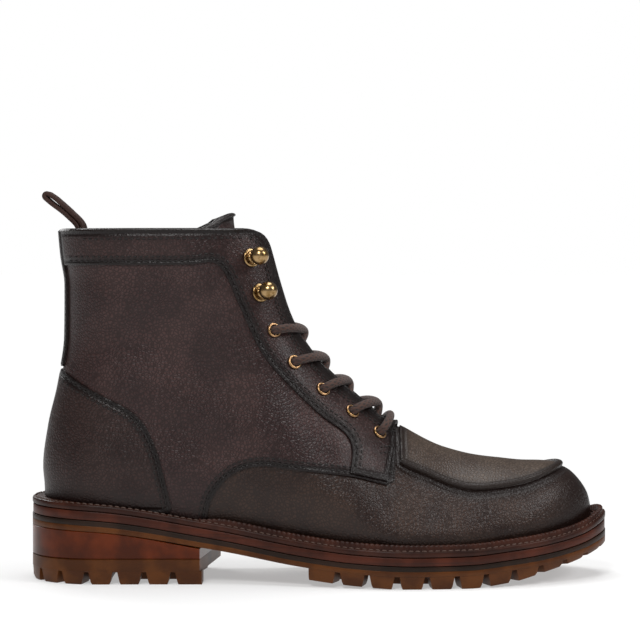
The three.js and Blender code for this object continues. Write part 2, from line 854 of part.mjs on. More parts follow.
function makeInsole() {
  const inset = heelInset + upperWall + 3;
  const low = weltClearance;
  return stackSolid([
    soleLoop(inset + 1, above(weltTop, low)),
    soleLoop(inset, above(weltTop, low + 1)),
    soleLoop(inset, above(weltTop, low + insoleThickness)),
  ]);
}

addPart('outsole', makeOutsole(), rubber);
addPart('midsole', layer(above(midsoleTop, 0), outsoleTop, 0.3), rubber);
addPart('welt', makeWelt(), trimLeather);
addPart('heel_block', makeHeelBlock(), heelRubber);
addPart('heel_lift', makeHeelLift(), rubber);
addPart('insole', makeInsole(), trimLeather);

// Slab across the boot with an outline drawn in side view, from one sideways place to another
function sidePrism(outline, from, to) {
  const shape = new THREE.Shape(outline);
  const geometry = new THREE.ExtrudeGeometry(shape, { depth: to - from, bevelEnabled: false });
  geometry.rotateX(Math.PI / 2);
  geometry.translate(0, to, 0);
  return solidOf(geometry);
}

function sidePoint(row) {
  return new THREE.Vector2(row.at * halfLength, heelSeat + row.up * shaftRise);
}

function smoothLine(rows) {
  return new THREE.SplineCurve(rows.map(sidePoint)).getPoints((rows.length - 1) * 3);
}

const beyond = 1.4;
const farSide = ballWidth;
const quarterLevel = clearance + quarterThickness;
const outerLevel = quarterLevel + clearance;
const overlayLevel = outerLevel + overlayThickness;

const eyeletHoleGap = 0.35;

// Place and frame on the dressed upper, lift measured out from its bare outer face
function surfaceFrame(x, z, side, lift) {
  const at = (px, pz) => new THREE.Vector3(px, centre(px) + side * upperHalf(px, pz, side), pz);
  const here = at(x, z);
  const step = 0.5;
  const along = at(x + step, z).sub(at(x - step, z));
  const upwards = at(x, z + step).sub(at(x, z - step));
  const normal = along.cross(upwards).multiplyScalar(-side).normalize();
  return { place: here.addScaledVector(normal, lift), normal };
}

function turnTo(geometry, frame) {
  const turn = new THREE.Quaternion().setFromUnitVectors(new THREE.Vector3(0, 1, 0), frame.normal);
  geometry.applyQuaternion(turn);
  geometry.translate(frame.place.x, frame.place.y, frame.place.z);
  return geometry;
}

function eyeletFrame(row, side) {
  const p = sidePoint(row);
  return surfaceFrame(p.x, p.y, side, overlayLevel);
}

const eyeletNeck = eyeletBore / 2 + 0.5;

function eyeletHoles(side) {
  return join(eyeletRows.map((row) => {
    const radius = eyeletNeck + eyeletHoleGap;
    const geometry = new THREE.CylinderGeometry(radius, radius, 14, 8);
    return solidOf(turnTo(geometry, eyeletFrame(row, side)));
  }));
}

const holes = { '-1': eyeletHoles(-1), 1: eyeletHoles(1) };

function makeUpper() {
  return shell(-upperWall, 0).subtract(holes[-1]).subtract(holes[1]);
}

function makeQuarter() {
  const outline = [
    ...smoothLine(quarterEdge), ...smoothLine(tabFront),
    sidePoint({ at: 0.3, up: 0.5 }), sidePoint({ at: 0.3, up: beyond }),
    sidePoint({ at: -beyond, up: beyond }), sidePoint({ at: -beyond, up: -0.12 }),
  ];
  const panel = shell(clearance, quarterLevel).intersect(sidePrism(outline, -farSide, farSide));
  return panel.subtract(holes[-1]).subtract(holes[1]);
}

function makeCounter() {
  const outline = [
    sidePoint({ at: -beyond, up: 0.487 }), ...smoothLine(counterEdge),
    sidePoint({ at: -beyond, up: -0.03 }),
  ];
  return shell(outerLevel, overlayLevel).intersect(sidePrism(outline, -farSide, farSide));
}

const backstayZone = -0.6 * halfLength;

function makeFacing(side) {
  const outline = [
    sidePoint({ at: -beyond, up: 0.876 }), ...smoothLine(collarSeam),
    sidePoint({ at: 0.225, up: 0.083 }), ...smoothLine(tabFront.slice(1)).map(
      (p) => new THREE.Vector2(p.x - 1.2, p.y)),
    sidePoint({ at: 0.29, up: 0.5 }), sidePoint({ at: 0.29, up: beyond }),
    sidePoint({ at: -beyond, up: beyond }),
  ];
  const from = side < 0 ? -farSide : clearance;
  const to = side < 0 ? -clearance : farSide;
  const half = sidePrism(outline, from, to);
  const back = new THREE.BoxGeometry(halfLength, backstayWidth + 2 * clearance, collarHeight * 3);
  back.translate(backstayZone - halfLength / 2, 0, 0);
  return shell(outerLevel, overlayLevel).intersect(half).subtract(solidOf(back))
    .subtract(holes[side]);
}

function makeBackstay() {
  const low = heelSeat + 0.487 * shaftRise + 1.2;
  const box = new THREE.BoxGeometry(halfLength, backstayWidth, collarHeight);
  box.translate(backstayZone - halfLength / 2, 0, low + collarHeight / 2);
  return shell(outerLevel, overlayLevel + 0.5).intersect(solidOf(box));
}

// Plan outline of the apron at an inset from its seam
function apronOutline(inset) {
  const rear = 0.275 * halfLength;
  const front = toeEnd - 0.1 * halfLength - inset;
  const run = 0.36 * halfLength;
  const steps = 9;
  const half = (x) => {
    const taper = mix(0.8, 1, smooth(rear, rear + 0.3 * halfLength, x));
    return (apronWidth / 2) * taper * crown(front - x, run, 2.2) - inset * 0.999;
  };
  const rows = Array.from({ length: steps + 1 }, (_, i) => {
    return mix(rear, front, Math.sin((Math.PI * i) / (2 * steps)));
  });
  const outer = rows.map((x) => new THREE.Vector2(x, centre(x) - Math.max(0, half(x))));
  const inner = rows.slice(0, -1).reverse().map(
    (x) => new THREE.Vector2(x, centre(x) + Math.max(0, half(x))));
  return [...outer, ...inner];
}

function planPrism(outline) {
  const geometry = new THREE.ExtrudeGeometry(new THREE.Shape(outline), {
    depth: collarHeight, bevelEnabled: false,
  });
  return solidOf(geometry);
}

function makeApron() {
  const plug = shell(clearance, clearance + apronStep).intersect(planPrism(apronOutline(0)));
  const ring = planPrism(apronOutline(0)).subtract(planPrism(apronOutline(apronLipWidth)));
  return plug.add(shell(clearance, clearance + apronLip).intersect(ring));
}

addPart('upper', makeUpper(), leather);
addPart('quarter', makeQuarter(), leather);
addPart('heel_counter', makeCounter(), trimLeather);
addPart('backstay', makeBackstay(), trimLeather);
addPart('facing_outer', makeFacing(-1), leather);
addPart('facing_inner', makeFacing(1), leather);
addPart('apron', makeApron(), apronLeather);

// Tongue: a curved sheet behind the facings, leaning back above the top hook
function makeTongue() {
  const rows = 12;
  const columns = 8;
  const low = weltTop(throatPlace) + instepHeight * 0.93;
  const sheet = (inset) => {
    const points = [];
    for (let r = 0; r <= rows; r += 1) {
      const z = mix(low, tongueTop, r / rows);
      const ridgeX = ridgeAt(z);
      const lean = tongueLean * smooth(collarHeight - tongueBend, tongueTop, z);
      for (let c = 0; c <= columns; c += 1) {
        const share = (2 * c) / columns - 1;
        const round = r === rows ? 0.72 : 1;
        const y = share * (tongueWidth / 2) * mix(0.62, 1, smooth(low, low + tongueSpread, z)) * round;
        const under = inset + clearance * 4 * (1 - smooth(low, low + 16, z));
        const x = ridgeX - frontDepth(y, z, under) - lean;
        points.push(new THREE.Vector3(x, centre(x) + y, z));
      }
    }
    return points;
  };
  const seat = upperWall + clearance * 4;
  const outside = sheet(seat);
  const inside = sheet(seat + tongueThickness);
  const triangles = [];
  const quad = (a, b, c, d) => triangles.push(a, b, c, a, c, d);
  const half = outside.length;
  const row = columns + 1;
  for (let r = 0; r < rows; r += 1) {
    for (let c = 0; c < columns; c += 1) {
      const a = r * row + c;
      quad(a, a + 1, a + row + 1, a + row);
      quad(half + a + 1, half + a, half + a + row, half + a + row + 1);
    }
    quad(r * row, (r + 1) * row, half + (r + 1) * row, half + r * row);
    const e = r * row + columns;
    quad(e + row, e, half + e, half + e + row);
  }
  for (let c = 0; c < columns; c += 1) {
    quad(c + 1, c, half + c, half + c + 1);
    const t = rows * row + c;
    quad(t, t + 1, half + t + 1, half + t);
  }
  return solidOf(geometryOf([...outside, ...inside], triangles));
}

const facingLine = ridge.points.slice(ridge.throatIndex - 12);
const facingX = curveOf(facingLine.map((p) => ({ z: p.y, x: p.x })), 'z', 'x');

function ridgeAt(z) {
  return facingX(z);
}

// Half width of the closed upper moved inwards by an inset
function insetHalf(x, z, side, inset) {
  const step = 0.5;
  const alongX = (upperHalf(x + step, z, side) - upperHalf(x - step, z, side)) / (2 * step);
  const alongZ = (upperHalf(x, z + step, side) - upperHalf(x, z - step, side)) / (2 * step);
  return upperHalf(x, z, side) - inset * Math.hypot(1, alongX, alongZ);
}

// Distance behind the ridge, along X, where the inset upper's half width is y
function frontDepth(y, z, inset) {
  const height = Math.min(z, collarHeight - 1);
  const side = y < 0 ? -1 : 1;
  const x = ridgeAt(height);
  let low = 0;
  let high = 1.1 * instepHeight;
  for (let i = 0; i < 30; i += 1) {
    const q = (low + high) / 2;
    if (insetHalf(x - q, height, side, inset) < Math.abs(y)) low = q;
    else high = q;
  }
  return low;
}

addPart('tongue', makeTongue(), leather);

// Inner face of the back, where it is as wide as the pull loop
function insideBack(z) {
  let low = 0;
  let high = shaftBackRun;
  for (let i = 0; i < 30; i += 1) {
    const q = (low + high) / 2;
    if (insetHalf(backAt(z) + q, z, -1, upperWall) < loopWidth / 2) low = q;
    else high = q;
  }
  return backAt(z) + high;
}

// Route of the pull loop over the collar, as shares of its reach and its height
const loopRows = [
  { back: 0, up: -0.31 },
  { back: 0.011, up: 0.124 },
  { back: 0.323, up: 0.464 },
  { back: 0.677, up: 0.753 },
  { back: 1, up: 1 },
];

// Pull loop: a folded strap sewn inside the back of the collar
function makePullLoop() {
  const places = [0, loopTail / 2, loopTail].map((drop) => insideBack(collarHeight - 1 - drop));
  const seatX = Math.max(...places) + clearance * 5;
  const thick = loopStrap * 2 + 1.2;
  const x = seatX + thick / 2;
  const route = new THREE.SplineCurve([
    new THREE.Vector2(x, collarHeight - loopTail),
    ...loopRows.map((row) => new THREE.Vector2(
      x - row.back * loopReach, collarHeight + row.up * loopHeight)),
  ]);
  const band = (half, from, to, round) => {
    const steps = 10;
    const left = [];
    const right = [];
    for (let i = 0; i <= steps; i += 1) {
      const t = mix(from, to, i / steps);
      const p = route.getPointAt(t);
      const along = route.getTangentAt(t);
      left.push(p.clone().add(new THREE.Vector2(-along.y, along.x).multiplyScalar(half)));
      right.push(p.clone().add(new THREE.Vector2(along.y, -along.x).multiplyScalar(half)));
    }
    const tip = route.getPointAt(to).addScaledVector(route.getTangentAt(to), half * round);
    return [...right, tip, ...left.reverse()];
  };
  const shape = new THREE.Shape(band(thick / 2, 0, 0.97, 0.8));
  shape.holes.push(new THREE.Path(band(0.7, 0.5, 0.9, 1)));
  const geometry = new THREE.ExtrudeGeometry(shape, { depth: loopWidth, bevelEnabled: false });
  geometry.rotateX(Math.PI / 2);
  geometry.translate(0, loopWidth / 2, 0);
  return solidOf(geometry);
}

addPart('pull_loop', makePullLoop(), trimLeather);

// Eyelets and hooks: rings turned about their own axis
const seatGap = clearance + 0.15;

function makeEyelet(row, side) {
  const bore = eyeletBore / 2;
  const flange = eyeletSize / 2;
  const profile = [
    new THREE.Vector2(bore, -2.2), new THREE.Vector2(eyeletNeck, -2.2),
    new THREE.Vector2(eyeletNeck, seatGap), new THREE.Vector2(flange, seatGap),
    new THREE.Vector2((bore + flange) / 2, seatGap + eyeletHeight),
    new THREE.Vector2(bore, seatGap + eyeletHeight * 0.5), new THREE.Vector2(bore, -2.2),
  ];
  return solidOf(turnTo(new THREE.LatheGeometry(profile, 8), eyeletFrame(row, side)));
}

function makeHook(row, side) {
  const base = hookBase / 2;
  const ball = hookBall / 2;
  const stem = hookStem / 2;
  const low = seatGap;
  const ballMiddle = low + hookReach + ball * 0.85;
  const profile = [
    new THREE.Vector2(0, low), new THREE.Vector2(base, low),
    new THREE.Vector2(base - 0.7, low + 1.1), new THREE.Vector2(stem, low + 1.1),
    new THREE.Vector2(stem, low + hookReach),
  ];
  const steps = 5;
  const first = -Math.acos(stem / ball) * 0.999;
  for (let i = 1; i <= steps; i += 1) {
    const angle = mix(first, Math.PI / 2, i / steps);
    profile.push(new THREE.Vector2(
      Math.max(0, ball * Math.cos(angle)), ballMiddle + ball * Math.sin(angle)));
  }
  profile[profile.length - 1].x = 0;
  const p = sidePoint(row);
  const frame = surfaceFrame(p.x, p.y, side, overlayLevel);
  return solidOf(turnTo(new THREE.LatheGeometry(profile, 8), frame));
}

for (const [word, side] of [['outer', -1], ['inner', 1]]) {
  eyeletRows.forEach((row, i) => {
    addPart(`eyelet_${word}_${i + 1}`, makeEyelet(row, side), brass);
  });
  hookRows.forEach((row, i) => {
    addPart(`hook_${word}_${i + 1}`, makeHook(row, side), brass);
  });
}

// Lace: crossings between neighbouring pairs of eyelets and a bar across the lowest pair
const laceLift = seatGap + eyeletHeight + clearance * 3 + laceThickness / 2;
const humpLift = 2;
const overShare = 0.3;

function lacePoint(row, side) {
  const p = sidePoint(row);
  return surfaceFrame(p.x, p.y, side, overlayLevel + laceLift).place;
}

function humpPoint(first, second) {
  const z = heelSeat + ((first.up + second.up) / 2) * shaftRise;
  let index = ridge.throatIndex;
  const middle = new THREE.Vector2(
    ((first.at + second.at) / 2) * halfLength, z);
  let best = Infinity;
  ridge.points.forEach((p, i) => {
    if (i >= ridge.throatIndex && p.distanceTo(middle) < best) {
      best = p.distanceTo(middle);
      index = i;
    }
  });
  const here = ridge.points[index];
  const after = ridge.points[Math.min(index + 1, ridge.points.length - 1)];
  const before = ridge.points[Math.max(index - 1, 0)];
  const along = after.clone().sub(before).normalize();
  const out = new THREE.Vector2(along.y, -along.x).multiplyScalar(
    overlayLevel + laceThickness + humpLift);
  const x = here.x + out.x;
  return new THREE.Vector3(x, centre(x), here.y + out.y);
}

function strand(points) {
  const route = new THREE.CatmullRomCurve3(points, false, 'centripetal');
  const section = new THREE.Shape();
  section.absarc(0, 0, laceThickness / 2, 0, Math.PI * 2);
  const geometry = new THREE.ExtrudeGeometry(section, {
    steps: 6, curveSegments: 4, bevelEnabled: false, extrudePath: route,
  });
  return solidOf(geometry);
}

// Strand from an eyelet over the facing's edge to the hump in the middle
function rise(row, side, top) {
  const p = sidePoint(row);
  const over = surfaceFrame(
    mix(p.x, top.x, overShare), mix(p.y, top.z, overShare), side,
    overlayLevel + laceLift + humpLift);
  return [lacePoint(row, side), over.place];
}

function crossStrand(first, firstSide, second) {
  const top = humpPoint(first, second);
  const [a, b] = rise(first, firstSide, top);
  const [d, c] = rise(second, -firstSide, top);
  return strand([a, b, top, c, d]);
}

const lowest = eyeletRows[eyeletRows.length - 1];
const lacePieces = eyeletRows.slice(0, -1).flatMap((row, i) => [
  crossStrand(row, -1, eyeletRows[i + 1]), crossStrand(row, 1, eyeletRows[i + 1]),
]);
addPart('lace', join([...lacePieces, crossStrand(lowest, -1, lowest)]), cotton);

export default boot;
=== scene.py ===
"""Lace up ankle boot: the dressed pieces of one right boot over the shared frame."""
import logging
import math
from dataclasses import dataclass, field
from enum import IntEnum
from typing import Callable, Sequence

import bpy
import numpy as np
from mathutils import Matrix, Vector
from mathutils.bvhtree import BVHTree


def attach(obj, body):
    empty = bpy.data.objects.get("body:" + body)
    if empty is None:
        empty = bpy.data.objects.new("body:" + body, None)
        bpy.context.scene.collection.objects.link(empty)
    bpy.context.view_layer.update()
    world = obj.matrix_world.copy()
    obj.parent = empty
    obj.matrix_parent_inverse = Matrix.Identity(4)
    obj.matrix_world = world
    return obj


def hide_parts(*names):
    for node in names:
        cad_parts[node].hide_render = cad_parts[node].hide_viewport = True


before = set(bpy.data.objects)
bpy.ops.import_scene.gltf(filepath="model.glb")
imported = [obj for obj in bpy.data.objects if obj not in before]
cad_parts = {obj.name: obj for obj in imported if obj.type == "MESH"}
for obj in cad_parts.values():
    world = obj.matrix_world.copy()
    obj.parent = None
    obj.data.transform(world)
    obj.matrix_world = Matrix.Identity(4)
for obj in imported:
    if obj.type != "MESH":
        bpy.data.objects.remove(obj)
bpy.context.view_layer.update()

log = logging.getLogger("boot")
MM = 0.001
Height = Callable[[np.ndarray], np.ndarray]
Values = float | np.ndarray
Found = tuple[np.ndarray, np.ndarray] | None


class Side(IntEnum):
    """Side of the foot, its value the sign of Y."""

    OUTER = -1
    INNER = 1


# Plan of the sole: place, half width and sideways place of the centre, as shares
PLAN = ((-1, 0.64, 0), (-0.7, 0.675, 0), (-0.27, 0.63, -0.045), (0.33, 1, -0.01), (0.72, 0.93, 0.07), (1, 0.84, 0.16))
# Side of the sole: place, heel rise, toe spring, stack and tread, as shares
SOLE = (
    (-1, 1.1, 0, 1.12, 1), (-0.75, 1, 0, 1.08, 1), (-0.38, 0.59, 0, 1.05, 0.95), (-0.07, 0.2, 0, 1.03, 0.95),
    (0.13, 0.05, 0, 1, 0.98), (0.33, 0, 0, 1, 1.05), (0.5, 0, 0.02, 1, 1.05), (0.64, 0, 0.14, 1, 0.98),
    (0.76, 0, 0.27, 1, 0.62), (0.9, 0, 0.55, 1.06, 0.3), (1, 0, 1, 1.28, 0.12),
)
# Back of the upper: height and lean
BACK = (
    (-0.1, 0.1), (0.05, 0.07), (0.125, 0), (0.276, 0.22), (0.425, 0.63), (0.61, 0.97), (0.8, 1), (0.91, 0.82),
    (1, 0.72),
)
# Ridge of the vamp: place from the toe and rise
VAMP = (
    (0.0, 0.0), (-0.006, 0.06), (0.008, 0.2), (0.058, 0.38), (0.135, 0.52), (0.25, 0.59), (0.36, 0.62),
    (0.468, 0.66), (0.57, 0.7), (0.773, 0.8), (1, 1),
)
# Ridge of the facings: height and way aft
FACING = (
    (0, 0), (0.036, 0.07), (0.137, 0.265), (0.249, 0.47), (0.385, 0.66), (0.556, 0.81), (0.722, 0.89),
    (0.927, 0.97), (1, 1),
)
# Girth of the upper: height and share at heel, waist and ball
GIRTH = (
    (0, 0.98, 0.98, 0.98), (0.07, 1.03, 1.04, 1.02), (0.18, 1.02, 1.12, 1.01), (0.35, 0.98, 1.1, 0.95),
    (0.55, 0.98, 1.1, 0.9), (0.8, 1.06, 1.2, 0.9), (1, 1.12, 1.26, 0.9),
)
# Crown of the upper: place, run and power
CROWN = ((-0.2, 0.8, 2.1), (0.05, 0.84, 1.8), (0.26, 0.86, 1.5), (0.43, 0.8, 1.55), (0.6, 0.7, 1.9), (0.8, 0.6, 2.4))
# Outlines of the overlays in side view: place and height as shares
COUNTER_EDGE = (
    (-0.89, 0.487), (-0.798, 0.429), (-0.722, 0.387), (-0.651, 0.347), (-0.597, 0.291), (-0.553, 0.193),
    (-0.526, 0.088), (-0.5, -0.03),
)
COLLAR_SEAM = (
    (-0.9, 0.876), (-0.65, 0.876), (-0.441, 0.877), (-0.37, 0.885), (-0.334, 0.86), (-0.305, 0.8),
    (-0.278, 0.732), (-0.2, 0.554), (-0.115, 0.441), (-0.003, 0.324), (0.078, 0.258), (0.105, 0.2), (0.098, 0.118),
)
QUARTER_EDGE = (
    (-0.39, -0.12), (-0.378, -0.011), (-0.351, 0.054), (-0.29, 0.116), (-0.2, 0.143), (-0.068, 0.131),
    (0.098, 0.109), (0.225, 0.073),
)
# Front edge of the facings' lower end, then the middles of the eyelets from the top down, and of the hooks
TAB_FRONT = ((0.25, 0.09), (0.258, 0.2), (0.258, 0.36))
EYELETS = ((-0.166, 0.632), (-0.096, 0.512), (0.001, 0.409), (0.1, 0.326), (0.194, 0.247))
HOOKS = ((-0.243, 0.898), (-0.212, 0.77))
# Soft creases of the worn leather: side, two ends as shares, width and depth in mm
CREASES = (
    (-1, 0.10, 0.17, 0.23, -0.02, 5.5, 0.55), (-1, 0.30, 0.17, 0.36, -0.04, 4.5, 0.4),
    (1, 0.12, 0.17, 0.25, -0.02, 5.5, 0.55), (1, 0.30, 0.17, 0.36, -0.04, 4.5, 0.4),
    (-1, -0.46, 0.50, -0.24, 0.36, 11, 0.9), (-1, -0.62, 0.62, -0.36, 0.68, 13, 0.7),
    (1, -0.46, 0.50, -0.24, 0.36, 11, 0.9), (1, -0.60, 0.60, -0.36, 0.66, 13, 0.7),
    (-1, -0.52, 0.28, -0.34, 0.20, 10, 0.6), (1, -0.52, 0.28, -0.34, 0.20, 10, 0.6),
    (-1, -0.74, 0.76, -0.66, 0.46, 12, -0.5), (1, -0.74, 0.76, -0.66, 0.46, 12, -0.5),
)


def column(table: Sequence[Sequence[float]], place: int, value: int) -> list[tuple[float, float]]:
    """Two columns of a table as pairs."""
    return [(row[place], row[value]) for row in table]


def mix(a: Values, b: Values, t: Values) -> Values:
    """Value between a and b at the share t."""
    return a + (b - a) * t


def smooth(low: float, high: float, value: Values) -> Values:
    """Smooth step from 0 at low to 1 at high."""
    t = np.clip((value - low) / (high - low), 0, 1)
    return t * t * (3 - 2 * t)


def crown(distance: Values, run: Values, power: Values) -> Values:
    """Rise of a superellipse from its end, 0 at distance 0 and 1 from the run onwards."""
    t = np.clip(distance / run, 0, 1)
    return (1 - (1 - t) ** power) ** (1 / power)


def unit(v: np.ndarray) -> np.ndarray:
    """Rows of v at length one."""
    return v / np.maximum(1e-9, np.linalg.norm(v, axis=-1, keepdims=True))


class Profile:
    """Monotone cubic through pairs of place and value."""

    def __init__(self, pairs: Sequence[tuple[float, float]]) -> None:
        """Work out the slopes at the pairs.

        Args:
            pairs: place and value, places rising.
        """
        self.x = np.array([p[0] for p in pairs], float)
        self.y = np.array([p[1] for p in pairs], float)
        rise = np.diff(self.y) / np.diff(self.x)
        slope = np.concatenate([rise[:1], np.zeros(len(rise) - 1), rise[-1:]])
        for i in range(1, len(rise)):
            if rise[i - 1] * rise[i] > 0:
                slope[i] = 2 * rise[i - 1] * rise[i] / (rise[i - 1] + rise[i])
        self.slope = slope

    def __call__(self, value: Values) -> np.ndarray:
        """Value of the curve, held level beyond its ends.

        Args:
            value: place or places.

        Returns:
            The curve's value at each place.
        """
        v = np.clip(np.asarray(value, float), self.x[0], self.x[-1])
        i = np.clip(np.searchsorted(self.x, v, side="right") - 1, 0, len(self.x) - 2)
        step = self.x[i + 1] - self.x[i]
        t = (v - self.x[i]) / step
        return (
            (2 * t**3 - 3 * t**2 + 1) * self.y[i] + (t**3 - 2 * t**2 + t) * step * self.slope[i]
            + (3 * t**2 - 2 * t**3) * self.y[i + 1] + (t**3 - t**2) * step * self.slope[i + 1]
        )


def spline(points: Sequence[Sequence[float]], steps: int = 8, power: float = 0.5) -> np.ndarray:
    """Catmull-Rom curve through points.

    Args:
        points: the points it passes, in two or three columns.
        steps: how many steps between two points.
        power: 0 for the uniform kind, 0.5 for the centripetal one.

    Returns:
        The points of the curve.
    """
    p = np.array(points, float)
    p = np.vstack([2 * p[0] - p[1], p, 2 * p[-1] - p[-2]])
    out = []
    for i in range(1, len(p) - 2):
        t = [0.0]
        for a, b in zip(p[i - 1:i + 2], p[i:i + 3]):
            t.append(t[-1] + max(1e-6, float(np.linalg.norm(b - a))) ** power)
        for s in np.linspace(t[1], t[2], steps, endpoint=False):
            a1 = (t[1] - s) / (t[1] - t[0]) * p[i - 1] + (s - t[0]) / (t[1] - t[0]) * p[i]
            a2 = (t[2] - s) / (t[2] - t[1]) * p[i] + (s - t[1]) / (t[2] - t[1]) * p[i + 1]
            a3 = (t[3] - s) / (t[3] - t[2]) * p[i + 1] + (s - t[2]) / (t[3] - t[2]) * p[i + 2]
            b1 = (t[2] - s) / (t[2] - t[0]) * a1 + (s - t[0]) / (t[2] - t[0]) * a2
            b2 = (t[3] - s) / (t[3] - t[1]) * a2 + (s - t[1]) / (t[3] - t[1]) * a3
            out.append((t[2] - s) / (t[2] - t[1]) * b1 + (s - t[1]) / (t[2] - t[1]) * b2)
    out.append(p[-2])
    return np.array(out)


def walk(line: np.ndarray, places: np.ndarray) -> np.ndarray:
    """Points of a line at distances along it."""
    reach = np.concatenate([[0], np.cumsum(np.linalg.norm(np.diff(line, axis=0), axis=1))])
    return np.stack([np.interp(places, reach, line[:, k]) for k in range(line.shape[1])], axis=1)


def length_of(line: np.ndarray) -> float:
    """Length of a line."""
    return float(np.sum(np.linalg.norm(np.diff(line, axis=0), axis=1)))


def inside_distance(polygon: np.ndarray, points: np.ndarray) -> np.ndarray:
    """Distance of points to a closed polygon's outline, above 0 inside it.

    Args:
        polygon: corners of the outline.
        points: the points.

    Returns:
        One distance for each point.
    """
    best = np.full(len(points), 1e9)
    inside = np.zeros(len(points), bool)
    x, y = points[:, 0], points[:, 1]
    for a, b in zip(polygon, np.roll(polygon, -1, axis=0)):
        along = b - a
        t = np.clip(((x - a[0]) * along[0] + (y - a[1]) * along[1]) / max(1e-12, float(along @ along)), 0, 1)
        best = np.minimum(best, np.hypot(x - a[0] - t * along[0], y - a[1] - t * along[1]))
        crosses = (a[1] > y) != (b[1] > y)
        if a[1] != b[1]:
            inside ^= crosses & (x < (b[0] - a[0]) * (y - a[1]) / (b[1] - a[1]) + a[0])
    return np.where(inside, best, -best)


@dataclass(frozen=True)
class BootForm:
    """Shape of the last and the sole, in millimetres."""

    length: float = 304
    ball: float = 107
    heel_seat: float = 40.9
    ball_seat: float = 19.2
    toe_lift: float = 15.4
    collar: float = 182.5
    instep: float = 60.6
    heel_inset: float = 8
    back_lean: float = 12
    collar_front: float = 28
    throat: float = 40
    toe_inset: float = 8.4
    corner: float = 9
    throat_gap: float = 9
    collar_gap: float = 14
    ledge: float = 6.6
    welt: float = 3.3
    midsole: float = 4.2
    outsole: float = 5.3
    lug: float = 6.4
    lift: float = 6.7
    wall: float = 2.2
    seam_gap: float = 0.6
    twist: float = 0.05
    arch_depth: float = 0.06
    arch_at: float = -0.2
    arch_run: float = 0.3
    heel_round: tuple[float, float] = (0.28, 2.1)
    toe_round: tuple[float, float] = (0.58, 2.3)
    plan_round: tuple[float, float] = (0.25, 2.2)
    curves: dict = field(default_factory=dict)

    def __post_init__(self) -> None:
        """Make the curves of the tables and the ridge."""
        c = self.curves
        c["half"], c["middle"] = Profile(column(PLAN, 0, 1)), Profile(column(PLAN, 0, 2))
        for i, name in enumerate(("heel", "spring", "stack", "tread"), 1):
            c[name] = Profile(column(SOLE, 0, i))
        c["back"] = Profile(BACK)
        for i, name in enumerate(("girth_heel", "girth_waist", "girth_ball"), 1):
            c[name] = Profile(column(GIRTH, 0, i))
        c["run"], c["power"] = Profile(column(CROWN, 0, 1)), Profile(column(CROWN, 0, 2))
        c["ridge"], c["throat"] = self.ridge_line()

    @property
    def reach(self) -> float:
        """Half the sole's length."""
        return self.length / 2

    @property
    def rise(self) -> float:
        """Height of the shaft over the heel seat."""
        return self.collar - self.heel_seat

    @property
    def toe(self) -> float:
        """Place of the upper's toe end."""
        return self.reach - self.toe_inset

    def side_point(self, row: Sequence[float]) -> np.ndarray:
        """Place in side view of a table's row."""
        return np.array([row[0] * self.reach, self.heel_seat + row[1] * self.rise])

    def base_half(self, x: Values, side: int) -> Values:
        """Half width of the sole's plan.

        Args:
            x: place along the boot.
            side: sign of Y.

        Returns:
            The half width.
        """
        at = x / self.reach - side * self.twist
        arch = self.arch_depth * np.exp(-(((x / self.reach - self.arch_at) / self.arch_run) ** 2)) if side > 0 else 0
        return (self.curves["half"](at) - arch) * self.ball / 2

    def centre(self, x: Values) -> Values:
        """Sideways place of the middle line."""
        return self.curves["middle"](np.asarray(x) / self.reach) * self.ball / 2

    def welt_top(self, x: Values) -> Values:
        """Height of the welt's top."""
        at = np.asarray(x) / self.reach
        return self.ball_seat + self.curves["heel"](at) * (self.heel_seat - self.ball_seat) \
            + self.curves["spring"](at) * self.toe_lift

    def under(self, x: Values, thickness: float) -> Values:
        """Height under the welt's top by layers of a thickness."""
        return self.welt_top(x) - thickness * self.curves["stack"](np.asarray(x) / self.reach)

    def root(self, x: Values) -> Values:
        """Height of the outsole's underside between the lugs."""
        return self.under(x, self.welt + self.midsole + self.outsole)

    def tread(self, x: Values) -> Values:
        """Height of the lugs' underside."""
        return np.maximum(0, self.root(x) - self.lug * self.curves["tread"](np.asarray(x) / self.reach))

    def ridge_line(self) -> tuple[np.ndarray, int]:
        """Ridge of the closed upper in side view and the index of the throat.

        Returns:
            The points of the ridge and the index of the throat.
        """
        index = [float(i) for i in range(len(VAMP))]
        at = Profile(list(zip(index, [row[0] for row in VAMP])))
        up = Profile(list(zip(index, [row[1] for row in VAMP])))
        steps = np.linspace(0, len(VAMP) - 1, (len(VAMP) - 1) * 8 + 1)
        x = self.toe - at(steps) * (self.toe - self.throat)
        vamp = np.stack([x, self.welt_top(x) + up(steps) * self.instep], axis=1)
        share = np.linspace(0, 1, 61)[1:]
        aft = Profile(FACING)(share)
        facing = np.stack([mix(vamp[-1, 0], -self.collar_front, aft), mix(vamp[-1, 1], self.collar, share)], axis=1)
        return np.vstack([vamp, facing]), len(vamp) - 1

    def back_at(self, z: Values) -> Values:
        """Place of the back of the upper at a height."""
        return -self.reach + self.heel_inset + self.back_lean * self.curves["back"]((z - self.heel_seat) / self.rise)

    def ridge_height(self, x: Values) -> np.ndarray:
        """Height of the ridge over a place.

        Args:
            x: place along the boot.

        Returns:
            The height.
        """
        line = self.curves["ridge"][8:]
        height = np.interp(x, line[::-1, 0], line[::-1, 1])
        height = np.where(x > line[0, 0], self.welt_top(x), height)
        return np.where(x < line[-1, 0], self.collar, height)

    def ridge_distance(self, x: np.ndarray, z: np.ndarray) -> np.ndarray:
        """Distance in side view to the ridge.

        Args:
            x: place along the boot.
            z: height.

        Returns:
            The distance.
        """
        best = np.full(np.shape(x), 1e9)
        line = self.curves["ridge"][::2]
        for a, b in zip(line[:-1], line[1:]):
            along = b - a
            t = np.clip(((x - a[0]) * along[0] + (z - a[1]) * along[1]) / float(along @ along), 0, 1)
            best = np.minimum(best, np.hypot(x - a[0] - t * along[0], z - a[1] - t * along[1]))
        return best

